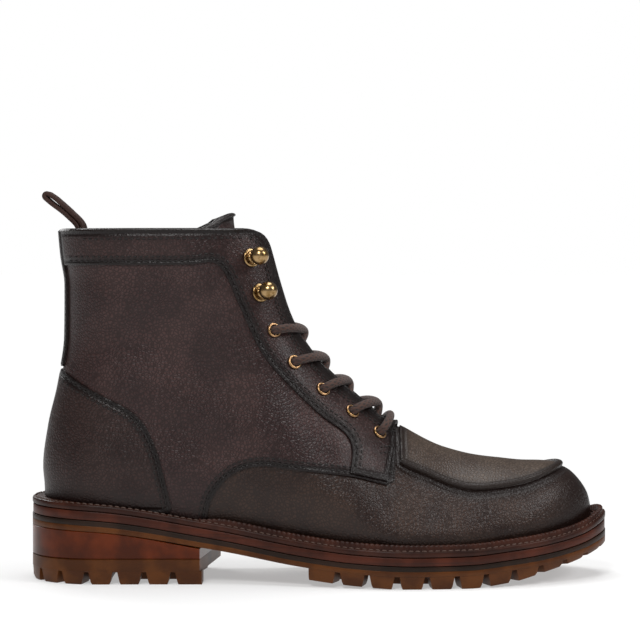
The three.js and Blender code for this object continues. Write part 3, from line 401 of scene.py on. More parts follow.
    def upper_half(self, x: Values, z: Values, side: int) -> np.ndarray:
        """Half width of the upper's outer face at a place in side view.

        Args:
            x: place along the boot.
            z: height.
            side: sign of Y.

        Returns:
            The half width from the middle line.
        """
        x, z = np.asarray(x, float), np.asarray(z, float)
        c = self.curves
        up = (z - self.welt_top(x)) / self.rise
        at = x / self.reach
        girth = mix(c["girth_heel"](up), c["girth_waist"](up), smooth(-0.7, -0.25, at))
        girth = mix(girth, c["girth_ball"](up), smooth(-0.1, 0.3, at))
        width = (self.base_half(x, side) - self.ledge) * girth
        top = self.ridge_height(x)
        slant = self.ridge_distance(x, z) / (c["run"](at) * self.instep)
        drop = (top - z) / np.maximum(1, top - self.welt_top(x))
        near = mix(slant, drop, smooth(self.throat - 14, self.throat + 22, x))
        back = crown(x - self.back_at(z), self.heel_round[0] * self.reach, self.heel_round[1])
        front = crown(self.toe + self.seam_gap - x, self.toe_round[0] * self.reach, self.toe_round[1])
        return width * back * front * crown(near, 1, c["power"](at))

    def inset_half(self, x: Values, z: Values, side: int, inset: Values) -> np.ndarray:
        """Half width of the upper moved inwards by an inset.

        Args:
            x: place along the boot.
            z: height.
            side: sign of Y.
            inset: distance inwards.

        Returns:
            The half width.
        """
        along = self.upper_half(x + 0.5, z, side) - self.upper_half(x - 0.5, z, side)
        upwards = self.upper_half(x, z + 0.5, side) - self.upper_half(x, z - 0.5, side)
        return self.upper_half(x, z, side) - inset * np.sqrt(1 + along**2 + upwards**2)

    def surface(self, x: float, z: float, side: int, lift: float) -> tuple[np.ndarray, np.ndarray]:
        """Place and outward normal on the upper.

        Args:
            x: place along the boot.
            z: height.
            side: sign of Y.
            lift: distance out from the bare outer face.

        Returns:
            The place and the normal.
        """
        def at(px: float, pz: float) -> np.ndarray:
            return np.array([px, float(self.centre(px)) + side * float(self.upper_half(px, pz, side)), pz])

        normal = np.cross(at(x + 0.5, z) - at(x - 0.5, z), at(x, z + 0.5) - at(x, z - 0.5)) * -side
        normal = unit(normal)
        return at(x, z) + normal * lift, normal

    def sole_loop(self, inset: float, height: Height, start: float = -1e9, end: float = 1e9, slant: float = 0,
                  steps: int = 90) -> np.ndarray:
        """Plan outline of the sole at an inset.

        Args:
            inset: distance in from the edge.
            height: height of the loop as a function of x.
            start: rear cut.
            end: front cut.
            slant: how far the front cut leans on each side.
            steps: steps along each side.

        Returns:
            Points of the outer side from back to front, then of the inner side from front to back.
        """
        back, front = max(start, -self.reach + inset), min(end, self.reach - inset)
        t = np.linspace(0, 1, steps + 1)
        share = 1 - np.cos(np.pi * t / 2) if end < self.reach - inset else (1 - np.cos(np.pi * t)) / 2
        if start > -self.reach + inset:
            share = np.sin(np.pi * t / 2)
        x = mix(back, front, share)
        turn = crown(x + self.reach - inset, self.plan_round[0] * self.reach, self.plan_round[1])
        turn = turn * crown(self.reach - inset - x, self.toe_round[0] * self.reach, self.toe_round[1])
        lean = slant * ((x - back) / (front - back)) ** 2 if end < self.reach - inset else 0 * x
        sides = [
            np.stack([x + s * lean, self.centre(x) + s * (self.base_half(x, s) - inset) * turn, height(x)], axis=1)
            for s in Side
        ]
        return np.vstack([sides[0], sides[1][::-1]])


FORM = BootForm()


@dataclass
class Sheet:
    """Open triangle mesh with a normal and named values at each point."""

    points: np.ndarray
    normals: np.ndarray
    triangles: np.ndarray
    values: dict[str, np.ndarray] = field(default_factory=dict)

    def moved(self, distance: Values) -> np.ndarray:
        """Points moved along their normals."""
        return self.points + self.normals * np.reshape(distance, (-1, 1))

    def clipped(self, name: str) -> "Sheet":
        """Part of the sheet where a value is above 0, cut cleanly along its line at 0.

        Args:
            name: name of the value.

        Returns:
            The part.
        """
        names = list(self.values)
        table = np.hstack([self.points, self.normals] + [self.values[n][:, None] for n in names])
        at = 6 + names.index(name)
        level = table[:, at]
        count = (level[self.triangles] > 0).sum(axis=1)
        kept = [tuple(t) for t in self.triangles[count == 3]]
        rows = [table]
        made: dict[tuple[int, int], int] = {}
        total = len(table)
        for t in self.triangles[(count == 1) | (count == 2)]:
            ring = []
            for a, b in zip(t, np.roll(t, -1)):
                if level[a] > 0:
                    ring.append(int(a))
                if (level[a] > 0) != (level[b] > 0):
                    key = (int(min(a, b)), int(max(a, b)))
                    if key not in made:
                        share = level[key[0]] / (level[key[0]] - level[key[1]])
                        rows.append(mix(table[key[0]], table[key[1]], share)[None])
                        made[key] = total
                        total += 1
                    ring.append(made[key])
            kept += [(ring[0], ring[i], ring[i + 1]) for i in range(1, len(ring) - 1)]
        table = np.vstack(rows)
        used, flat = np.unique(np.array(kept).ravel(), return_inverse=True)
        table = table[used]
        values = {n: table[:, 6 + i] for i, n in enumerate(names)}
        return Sheet(table[:, :3], unit(table[:, 3:6]), flat.reshape(-1, 3), values)

    def rim(self) -> list[tuple[int, int]]:
        """Edges that only one triangle uses, in that triangle's direction.

        Returns:
            Pairs of points.
        """
        t = self.triangles
        edges = np.vstack([t[:, [0, 1]], t[:, [1, 2]], t[:, [2, 0]]])
        known = {(int(a), int(b)) for a, b in edges}
        return [(a, b) for a, b in known if (b, a) not in known]


@dataclass
class Solid:
    """Triangles and quads gathered for one mesh, with named values at each point."""

    points: list[np.ndarray] = field(default_factory=list)
    faces: list[tuple[int, ...]] = field(default_factory=list)
    values: dict[str, list[np.ndarray]] = field(default_factory=dict)
    count: int = 0

    def add(self, points: np.ndarray, faces: Sequence[Sequence[int]], **values: np.ndarray) -> None:
        """Add points, faces between them and values at them.

        Args:
            points: the points.
            faces: indices into the points.
            values: named values at the points.
        """
        n = len(points)
        for name in set(self.values) | set(values):
            if name not in self.values:
                self.values[name] = [np.zeros(self.count)] if self.count else []
            self.values[name].append(np.broadcast_to(np.asarray(values.get(name, 0.0), float), (n,)))
        self.faces += [tuple(int(i) + self.count for i in f) for f in faces]
        self.points.append(np.asarray(points, float))
        self.count += n

    def stack(self, loops: Sequence[np.ndarray]) -> None:
        """Add a stack of closed loops, each from a side to the other, with a cap at each end.

        Args:
            loops: the loops from the bottom up.
        """
        n = len(loops[0])
        faces = []
        for level in range(len(loops) - 1):
            for i in range(n):
                j = (i + 1) % n
                faces.append((level * n + i, level * n + j, (level + 1) * n + j, (level + 1) * n + i))
        top = (len(loops) - 1) * n
        for i in range(n // 2 - 1):
            far = n - 1 - i
            faces.append((i + 1, i, far, far - 1))
            faces.append((top + i, top + i + 1, top + far - 1, top + far))
        self.add(np.vstack(loops), faces)

    def sweep(self, path: np.ndarray, ups: np.ndarray, section: np.ndarray, closed: bool = False,
              sizes: np.ndarray | None = None, wind: float = 1) -> None:
        """Add a closed section swept along a path.

        Args:
            path: points of the path.
            ups: direction at each point that the section's second column follows.
            section: closed outline, sideways and upwards.
            closed: whether the path ends where it starts.
            sizes: scale of the section at each point.
            wind: length of path for one turn of the pattern's value.
        """
        n, m = len(path), len(section)
        ahead = np.roll(path, -1, axis=0) - np.roll(path, 1, axis=0)
        if not closed:
            ahead[0], ahead[-1] = path[1] - path[0], path[-1] - path[-2]
        ahead = unit(ahead)
        side = unit(np.cross(ahead, ups))
        up = np.cross(side, ahead)
        scale = np.ones(n) if sizes is None else sizes
        rings = path[:, None] + scale[:, None, None] * (
            side[:, None] * section[None, :, :1] + up[:, None] * section[None, :, 1:])
        faces = []
        for i in range(n if closed else n - 1):
            a, b = i * m, ((i + 1) % n) * m
            for k in range(m):
                j = (k + 1) % m
                faces.append((a + k, a + j, b + j, b + k))
        if not closed:
            faces.append(tuple(range(m - 1, -1, -1)))
            faces.append(tuple((n - 1) * m + k for k in range(m)))
        reach = np.concatenate([[0], np.cumsum(np.linalg.norm(np.diff(path, axis=0), axis=1))])
        around = np.tile(np.arange(m) / m, n)
        self.add(rings.reshape(-1, 3), faces, along=np.repeat(reach / wind, m), around=around)

    def lathe(self, profile: Sequence[Sequence[float]], place: np.ndarray, axis: np.ndarray, steps: int = 28) -> None:
        """Add a profile of radius and height turned about an axis.

        Args:
            profile: radius and height of each ring.
            place: where height 0 lies.
            axis: direction of the height.
            steps: points of a ring.
        """
        side = unit(np.cross(axis, [0.31, 0.2, 0.93]))
        other = np.cross(axis, side)
        angles = np.linspace(0, 2 * np.pi, steps, endpoint=False)
        turn = np.cos(angles)[:, None] * side + np.sin(angles)[:, None] * other
        rings = [place + axis * h + turn * max(r, 1e-4) for r, h in profile]
        faces = []
        for i in range(len(profile) - 1):
            for k in range(steps):
                j = (k + 1) % steps
                faces.append((i * steps + k, i * steps + j, (i + 1) * steps + j, (i + 1) * steps + k))
        self.add(np.vstack(rings), faces)

    def stitch(self, place: np.ndarray, along: np.ndarray, up: np.ndarray, reach: float, thick: float) -> None:
        """Add one stitch, a short thread whose ends dip into the leather.

        Args:
            place: its middle on the leather.
            along: its direction.
            up: normal of the leather.
            reach: its length.
            thick: thickness of the thread.
        """
        side = np.cross(along, up)
        rings = []
        for share, size, dip in ((-0.5, 0.5, -0.5), (-0.3, 1, 0), (0.3, 1, 0), (0.5, 0.5, -0.5)):
            middle = place + along * share * reach + up * (dip + 0.2) * thick
            angles = np.linspace(0, 2 * np.pi, 6, endpoint=False)
            rings.append(middle + size * thick / 2 * (
                np.cos(angles)[:, None] * side + np.sin(angles)[:, None] * up))
        faces = [(i * 6 + k, i * 6 + (k + 1) % 6, (i + 1) * 6 + (k + 1) % 6, (i + 1) * 6 + k)
                 for i in range(3) for k in range(6)]
        faces += [(5, 4, 3, 2, 1, 0), (18, 19, 20, 21, 22, 23)]
        self.add(np.vstack(rings), faces)

    def build(self, name: str, material: bpy.types.Material, stands_for: Sequence[str] = (), slot: str = "",
              sharp: float = 40) -> bpy.types.Object:
        """Make the object.

        Args:
            name: name of the object.
            material: its material.
            stands_for: nodes of the frame it replaces.
            slot: not used.
            sharp: angle in degrees over which an edge stays sharp.

        Returns:
            The object, riding on the root.
        """
        mesh = bpy.data.meshes.new(name)
        mesh.from_pydata((np.vstack(self.points) * MM).tolist(), [], self.faces)
        mesh.validate()
        for key, parts in self.values.items():
            flat = np.concatenate(parts)
            if len(flat) == len(mesh.vertices):
                mesh.attributes.new(key, "FLOAT", "POINT").data.foreach_set("value", flat.astype(np.float32))
        mesh.shade_smooth()
        mesh.set_sharp_from_angle(angle=math.radians(sharp))
        mesh.materials.append(material)
        obj = bpy.data.objects.new(name, mesh)
        bpy.context.scene.collection.objects.link(obj)
        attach(obj, "root")
        if stands_for:
            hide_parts(*stands_for)
        log.info("%s: %d faces", name, len(self.faces))
        return obj


def circle(radius: float, steps: int = 14) -> np.ndarray:
    """Round section."""
    a = np.linspace(0, 2 * np.pi, steps, endpoint=False)
    return np.stack([np.cos(a), np.sin(a)], axis=1) * radius


def linear(colour: str) -> tuple[float, float, float, float]:
    """Linear colour of an sRGB hex."""
    parts = [int(colour[i:i + 2], 16) / 255 for i in (0, 2, 4)]
    return tuple(c / 12.92 if c <= 0.04045 else ((c + 0.055) / 1.055) ** 2.4 for c in parts) + (1.0,)


# Dark brown at the rubbed toe and in the darker bands towards the feather line and beside the apron, the dark lines
# between stacked layers, and a pressed groove's way in from an edge
DARKENED, LAYER_LINE, GROOVE_MM = "180c09", "17100d", 2.1


class Nodes:
    """Node graph of a material."""

    def __init__(self, name: str) -> None:
        """Start a material with its surface shader."""
        self.material = bpy.data.materials.new(name)
        self.material.use_nodes = True
        self.tree = self.material.node_tree
        self.shader = self.tree.nodes["Principled BSDF"]

    def add(self, kind: str, settings: dict | None = None, inputs: dict | None = None) -> bpy.types.Node:
        """Add a node with its settings, its values and its links.

        Args:
            kind: type of the node.
            settings: its properties.
            inputs: value or output for each input.

        Returns:
            The node.
        """
        node = self.tree.nodes.new(kind)
        for key, value in (settings or {}).items():
            setattr(node, key, value)
        for key, value in (inputs or {}).items():
            self.put(node.inputs[key], value)
        return node

    def put(self, socket: bpy.types.NodeSocket, value: object) -> None:
        """Link an output to a socket, or set its value.

        Args:
            socket: the socket.
            value: value or output.
        """
        if isinstance(value, bpy.types.NodeSocket):
            self.tree.links.new(value, socket)
        else:
            socket.default_value = value

    def math(self, operation: str, a: object, b: object = 0.0) -> bpy.types.NodeSocket:
        """Result of a sum on two values."""
        return self.add("ShaderNodeMath", {"operation": operation}, {0: a, 1: b}).outputs[0]

    def blend(self, share: object, a: object, b: object) -> bpy.types.NodeSocket:
        """Colour between two colours.

        Args:
            share: share of the second.
            a: first colour.
            b: second colour.

        Returns:
            The colour.
        """
        node = self.add("ShaderNodeMix", {"data_type": "RGBA"})
        for place, value in ((0, share), (6, a), (7, b)):
            self.put(node.inputs[place], value)
        return node.outputs[2]

    def range(self, value: object, low: float, high: float, to_low: float = 0,
              to_high: float = 1) -> bpy.types.NodeSocket:
        """Value carried from one range to another, held at its ends."""
        return self.add("ShaderNodeMapRange", {"interpolation_type": "SMOOTHSTEP"}, {
            0: value, 1: low, 2: high, 3: to_low, 4: to_high}).outputs[0]

    def place(self) -> bpy.types.NodeSocket:
        """Place on the object."""
        return self.add("ShaderNodeTexCoord").outputs["Object"]

    def value_of(self, name: str) -> bpy.types.NodeSocket:
        """Named value of the mesh."""
        return self.add("ShaderNodeAttribute", {"attribute_name": name}).outputs["Fac"]

    def noise(self, size_mm: float, detail: float = 3) -> bpy.types.NodeSocket:
        """Soft noise with spots of a size."""
        return self.add("ShaderNodeTexNoise", inputs={
            "Vector": self.place(), "Scale": 1000 / size_mm, "Detail": detail}).outputs["Fac"]

    def finish(self, **values: object) -> bpy.types.Material:
        """Set the surface shader's sockets.

        Args:
            values: value or output for each socket, by its name.

        Returns:
            The material.
        """
        for key, value in values.items():
            self.put(self.shader.inputs[key.replace("_", " ").title().replace("Ior", "IOR")], value)
        return self.material

    def bump(self, height: object, distance_mm: float, strength: float = 1) -> bpy.types.NodeSocket:
        """Normal from a height, whose 0 to 1 is a distance."""
        return self.add("ShaderNodeBump", inputs={
            "Height": height, "Distance": distance_mm * MM, "Strength": strength}).outputs["Normal"]


@dataclass(frozen=True)
class Leather:
    """Oiled leather with a pebbled grain, dyed dark on its cut edges, with painted shade in a band in from each cut
    edge and in the grain's valleys.
    """

    name: str
    base: str
    light: str
    dark: str
    grain_mm: float = 1.7
    grain_depth: float = 0.22
    roughness: float = 0.38

    def material(self) -> bpy.types.Material:
        """Make the material.

        Returns:
            The material.
        """
        n = Nodes(self.name)
        place = n.place()
        warp = n.add("ShaderNodeTexNoise", inputs={"Vector": place, "Scale": 700.0, "Detail": 2.0}).outputs["Color"]
        bent = n.add("ShaderNodeVectorMath", {"operation": "MULTIPLY_ADD"}, {
            0: warp, 1: (0.0007,) * 3, 2: place}).outputs[0]
        cells = n.add("ShaderNodeTexVoronoi", {"feature": "DISTANCE_TO_EDGE"}, {
            "Vector": bent, "Scale": 1000 / self.grain_mm}).outputs["Distance"]
        pebble = n.range(cells, 0.0, 0.32)
        fine = n.noise(0.35, 2)
        clouds = n.noise(26, 3)
        edge = n.value_of("edge")
        # Darker towards each cut edge: the cut edge itself is dyed dark, and the band up to 6 mm in from it is painted
        # shade
        edge_dye_and_shade = n.math("MULTIPLY", n.range(edge, 1.5, 6.0, 1, 0), 0.92)
        tone = n.blend(n.range(clouds, 0.36, 0.64), linear(self.base), linear(self.light))
        tone = n.blend(n.range(n.noise(5, 2), 0.55, 0.75, 0, 0.35), tone, linear(self.light))
        # Painted shade in the grain's valleys
        tone = n.blend(n.math("MULTIPLY", n.range(pebble, 0.0, 1.0, 1, 0), 0.55), tone, linear(self.dark))
        tone = n.blend(edge_dye_and_shade, tone, linear(self.dark))
        tone = n.blend(n.value_of("burnish"), tone, linear(DARKENED))
        groove = n.math("ABSOLUTE", n.math("SUBTRACT", edge, GROOVE_MM))
        height = n.math("ADD", n.math("MULTIPLY", pebble, 0.5), n.math("MULTIPLY", fine, 0.04))
        height = n.math("ADD", height, n.range(groove, 0.0, 1.5, -1.8, 0))
        normal = n.bump(height, self.grain_depth, 1.0)
        rough = n.math("ADD", n.math("MULTIPLY", clouds, 0.16), self.roughness - 0.08)
        n.put(n.shader.inputs["Specular IOR Level"], 0.31)
        return n.finish(base_color=tone, roughness=rough, ior=1.45, normal=normal, coat_weight=0.04, coat_roughness=0.3)


@dataclass(frozen=True)
class Rubber:
    """Moulded sole rubber with a fine dull skin and faint cloudy colour."""

    name: str
    base: str
    light: str
    roughness: float = 0.45
    glow: float = 0.0
    line_mm: float = 0.0

    def material(self) -> bpy.types.Material:
        """Make the material.

        Returns:
            The material.
        """
        n = Nodes(self.name)
        tone = n.blend(n.range(n.noise(14, 3), 0.35, 0.68), linear(self.base), linear(self.light))
        height = n.noise(0.7, 3)
        if self.line_mm:
            squeezed = n.add("ShaderNodeMapping", inputs={
                "Vector": n.place(), "Scale": (4.0, 4.0, 1000 / self.line_mm)})
            lines = n.add("ShaderNodeTexNoise", inputs={"Vector": squeezed.outputs[0], "Scale": 1.0, "Detail": 2.0})
            tone = n.blend(n.range(lines.outputs["Fac"], 0.5, 0.75, 0, 0.5), tone, linear(LAYER_LINE))
            height = n.math("ADD", height, lines.outputs["Fac"])
        n.put(n.shader.inputs["Specular IOR Level"], 0.17)
        return n.finish(
            base_color=tone, roughness=self.roughness, ior=1.52, normal=n.bump(height, 0.08, 0.5),
            subsurface_weight=self.glow, subsurface_radius=(0.004, 0.0015, 0.0006), subsurface_scale=1.0)


@dataclass(frozen=True)
class Brass:
    """Polished brass with faint turning marks, warm in its reflections."""

    name: str
    base: str
    roughness: float = 0.24

    def material(self) -> bpy.types.Material:
        """Make the material.

        Returns:
            The material.
        """
        n = Nodes(self.name)
        tone = n.blend(n.range(n.noise(2.2, 2), 0.4, 0.7), linear(self.base), linear("7b6038"))
        rough = n.math("ADD", n.math("MULTIPLY", n.noise(0.6, 2), 0.14), self.roughness - 0.06)
        return n.finish(base_color=tone, metallic=1.0, roughness=rough)


@dataclass(frozen=True)
class Cord:
    """Braided cotton: strands that cross over each other round the cord, with painted shade between them."""

    name: str
    base: str
    dark: str

    def material(self) -> bpy.types.Material:
        """Make the material.

        Returns:
            The material.
        """
        n = Nodes(self.name)
        along, around = n.value_of("along"), n.math("MULTIPLY", n.value_of("around"), 6.0)
        waves = [
            n.math("ABSOLUTE", n.math("SINE", n.math("MULTIPLY", n.math(way, along, around), math.pi)))
            for way in ("ADD", "SUBTRACT")
        ]
        strands = n.math("MAXIMUM", *waves)
        # Painted shade in the dips between the strands
        tone = n.blend(n.range(strands, 0.55, 1.0), linear(self.dark), linear(self.base))
        height = n.math("ADD", strands, n.math("MULTIPLY", n.noise(0.25, 2), 0.4))
        return n.finish(
            base_color=tone, roughness=0.78, ior=1.5, normal=n.bump(height, 0.3, 0.8), sheen_weight=0.1,
            sheen_roughness=0.5)


@dataclass(frozen=True)
class Plain:
    """Even finish, as on waxed thread, a lining or a floor."""

    name: str
    base: str
    roughness: float = 0.6

    def material(self) -> bpy.types.Material:
        """Make the material.

        Returns:
            The material.
        """
        n = Nodes(self.name)
        return n.finish(base_color=linear(self.base), roughness=self.roughness, ior=1.5)


@dataclass
class Skin:
    """Fine outer face of the upper with its creases, and places on it."""

    form: BootForm
    counts: tuple[int, int, int] = (56, 60, 80)
    rows: int = 84
    feet: tuple[float, float] = (0.43, 0.69)
    sheet: Sheet | None = None
    rim: np.ndarray | None = None
    edge: np.ndarray | None = None

    def __post_init__(self) -> None:
        """Make the sheet, its creases and the tree that finds places on it."""
        self.edge = self.facing_edge()
        self.make()
        self.tree = BVHTree.FromPolygons(self.sheet.points.tolist(), self.sheet.triangles.tolist())

    def facing_edge(self) -> np.ndarray:
        """Facing's edge in side view, from the collar's rounded corner down to the throat.

        Returns:
            The points of the edge.
        """
        f = self.form
        line, throat = f.curves["ridge"], f.curves["throat"]
        here = line[throat:]
        ahead = unit(np.vstack([line[throat + 1:], line[-1:]]) - line[throat - 1:-1])
        inward = np.stack([-ahead[:, 1], ahead[:, 0]], axis=1)
        up = (here[:, 1] - here[0, 1]) / (f.collar - here[0, 1])
        gap = mix(f.throat_gap, f.collar_gap, up) * np.sqrt(1 - (1 - np.minimum(1, up / 0.06)) ** 2)
        low, high = np.zeros(len(here)), np.full(len(here), 0.6 * f.instep)
        for _ in range(30):
            q = (low + high) / 2
            p = here + inward * q[:, None]
            narrow = f.upper_half(p[:, 0], p[:, 1], -1) < gap
            low, high = np.where(narrow, q, low), np.where(narrow, high, q)
        places = here + inward * low[:, None]
        kept = places[places[:, 1] < f.collar - f.corner]
        turn = np.array([places[-1, 0], f.collar])
        start = turn - [f.corner, 0]
        t = np.linspace(0, 1, 17)[:, None]
        bend = (1 - t) ** 2 * start + 2 * t * (1 - t) * turn + t**2 * kept[-1]
        return np.vstack([bend, kept[::-1][1:]])

    def columns(self) -> tuple[np.ndarray, np.ndarray, np.ndarray]:
        """Top end, inward direction and share of the sole's length of each column.

        Returns:
            The three, one row for each column.
        """
        f = self.form
        collar, facing, vamp = self.counts
        t = 1 - np.cos(np.pi / 2 * (np.arange(collar) / collar) ** 0.9)
        x = mix(float(f.back_at(f.collar)), self.edge[0, 0], t)
        tops = [np.stack([x, np.full(collar, f.collar)], axis=1)]
        inward = [np.tile([0.0, -1.0], (collar, 1))]
        shares = [self.feet[0] * t]
        s, whole = np.arange(facing) / facing, length_of(self.edge)
        tops.append(walk(self.edge, s * whole))
        along = unit(walk(self.edge, (s + 0.02) * whole) - walk(self.edge, np.maximum(0, s - 0.02) * whole))
        inward.append(np.stack([along[:, 1], -along[:, 0]], axis=1))
        shares.append(mix(self.feet[0], self.feet[1], s))
        line = f.curves["ridge"][4:f.curves["throat"] + 1][::-1]
        s = np.sin(np.pi / 2 * np.arange(vamp + 1) / vamp)
        tops.append(walk(line, s * length_of(line)))
        inward.append(np.tile([0.0, -1.0], (vamp + 1, 1)))
        shares.append(mix(self.feet[1], 1, s))
        return np.vstack(tops), np.vstack(inward), np.concatenate(shares)

    def grid(self) -> tuple[np.ndarray, np.ndarray]:
        """Places in side view, in rows from the feather line up to the top edge.

        Returns:
            The places, and each column's share of the sole's length.
        """
        f = self.form
        tops, inward, share = self.columns()
        low = float(f.back_at(f.heel_seat))
        x = mix(low, f.toe, share)
        foot = np.stack([x, f.welt_top(x) + f.seam_gap], axis=1)
        reach = np.linalg.norm(foot - tops, axis=1)[:, None]
        middle = tops + unit(inward * 0.35 + unit(foot - tops)) * 0.3 * reach
        t = np.sin(np.pi / 2 * np.arange(self.rows + 1) / self.rows)[:, None, None]
        p = (1 - t) ** 2 * foot + 2 * t * (1 - t) * middle + t**2 * tops
        base = float(f.welt_top(low)) + f.seam_gap
        straight = mix(low, float(f.back_at(f.collar)), (p[..., 1] - base) / (f.collar - base))
        bow = np.where(p[..., 1] < base + 1, 0, f.back_at(p[..., 1]) - straight)
        p[..., 0] += bow * np.maximum(0, 1 - share / self.feet[0])
        return p, share

    def make(self) -> None:
        """Fill the sheet with both sides, joined along the ridge and the back."""
        f = self.form
        p, share = self.grid()
        ridge_from = self.counts[0] + self.counts[1]
        points, triangles, rims = [], [], []
        n = len(share)
        for order, side in enumerate(Side):
            half = f.upper_half(p[..., 0], p[..., 1], side)
            half[:, 0] = half[:, -1] = 0
            half[-1, ridge_from:] = 0
            points.append(np.stack([p[..., 0], f.centre(p[..., 0]) + side * half, p[..., 1]], axis=2).reshape(-1, 3))
            a = (np.arange(self.rows)[:, None] * n + np.arange(n - 1)[None]).ravel() + order * (self.rows + 1) * n
            b, c, d = a + 1, a + n + 1, a + n
            quads = [(a, b, c), (a, c, d)] if side < 0 else [(a, c, b), (a, d, c)]
            triangles += [np.stack(q, axis=1) for q in quads]
            rims.append(np.arange(ridge_from + 1) + self.rows * n + order * (self.rows + 1) * n)
        same = self.weld(np.vstack(points), np.vstack(triangles))
        self.rim = same[np.concatenate([rims[0][::-1], rims[1][1:]])]

    def weld(self, points: np.ndarray, triangles: np.ndarray) -> np.ndarray:
        """Join equal points, press the creases in and keep the sheet.

        Args:
            points: points of both sides.
            triangles: their triangles.

        Returns:
            The joined index of each point.
        """
        _, first, same = np.unique(np.round(points, 3), axis=0, return_index=True, return_inverse=True)
        same = same.ravel()
        triangles = same[triangles]
        flat = (triangles[:, 0] == triangles[:, 1]) | (triangles[:, 1] == triangles[:, 2]) \
            | (triangles[:, 2] == triangles[:, 0])
        triangles = triangles[~flat]
        points = points[first]
        points = points - self.normals(points, triangles) * self.crease_depth(points)[:, None]
        self.sheet = Sheet(points, self.normals(points, triangles), triangles)
        return same

    @staticmethod
    def normals(points: np.ndarray, triangles: np.ndarray) -> np.ndarray:
        """Normal at each point, weighted by area.

        Args:
            points: the points.
            triangles: the triangles.

        Returns:
            The normals.
        """
        p, q, r = (points[triangles[:, i]] for i in range(3))
        face = np.cross(q - p, r - p)
        total = np.zeros_like(points)
        for i in range(3):
            np.add.at(total, triangles[:, i], face)
        return unit(total)

    def crease_depth(self, points: np.ndarray) -> np.ndarray:
        """Depth of the creases at points.

        Args:
            points: the points.

        Returns:
            One depth for each point.
        """
        depth = np.zeros(len(points))
        for side, at0, up0, at1, up1, width, deep in CREASES:
            a, b = self.form.side_point((at0, up0)), self.form.side_point((at1, up1))
            along = b - a
            local = points[:, [0, 2]] - a
            t = local @ along / float(along @ along)
            gap = np.linalg.norm(local - np.clip(t, 0, 1)[:, None] * along, axis=1)
            beside = side * (points[:, 1] - self.form.centre(points[:, 0])) > 0
            depth += np.where(beside, deep * np.exp(-((gap / width) ** 2)), 0)
        return depth

    def hit(self, origin: Sequence[float], way: Sequence[float], lift: float) -> Found:
        """Find where a ray meets the upper.

        Args:
            origin: start of the ray.
            way: its direction.
            lift: distance out from the upper.

        Returns:
            The place and its normal, or None where the ray misses.
        """
        place, _, index, _ = self.tree.ray_cast(Vector(origin), Vector(way), 900)
        if place is None:
            return None
        corners = self.sheet.triangles[index]
        near = 1 / (np.linalg.norm(self.sheet.points[corners] - np.array(place), axis=1) + 0.02)
        normal = unit((self.sheet.normals[corners] * near[:, None]).sum(axis=0))
        return np.array(place) + normal * lift, normal

    def from_side(self, x: float, z: float, side: int, lift: float) -> Found:
        """Place and normal at a place in side view."""
        return self.hit((x, side * 300, z), (0, -side, 0), lift)

    def from_above(self, x: float, y: float, lift: float) -> Found:
        """Place and normal at a place in plan."""
        return self.hit((x, y, 400), (0, 0, -1), lift)


@dataclass(frozen=True)
class Panel:
    """Overlay cut out of the skin: its node, slot, levels off the skin and leather."""

    name: str
    slot: str
    low: float
    high: float
    leather: Leather


# Soft reddish brown of the shaft, its pebbles catching small highlights
SHAFT = Leather("shaft leather", "32201f", "412d2b", "0d0706")
# Stiffer and a little darker round the heel
COUNTER = Leather("counter leather", "291816", "352421", "0c0605")
# Dark brown of the facings, the collar band and every rolled edge
FACINGS = Leather("facing leather", "2d1b1a", "3b2826", "0c0605")
# Brown of the vamp, rubbed nearly black round the toe
VAMP_LEATHER = Leather("vamp leather", "2b1c17", "3a2921", "100907")
# Honey brown crepe-like rubber that lets a little light in at the lugs
TREAD = Rubber("tread rubber", "422108", "58300f", 0.42, 0.06)
# Paler, flatter and finer leather on top of the toe
APRON = Leather("apron leather", "44372f", "52453b", "1f1713", 1.7, 0.18, 0.42)


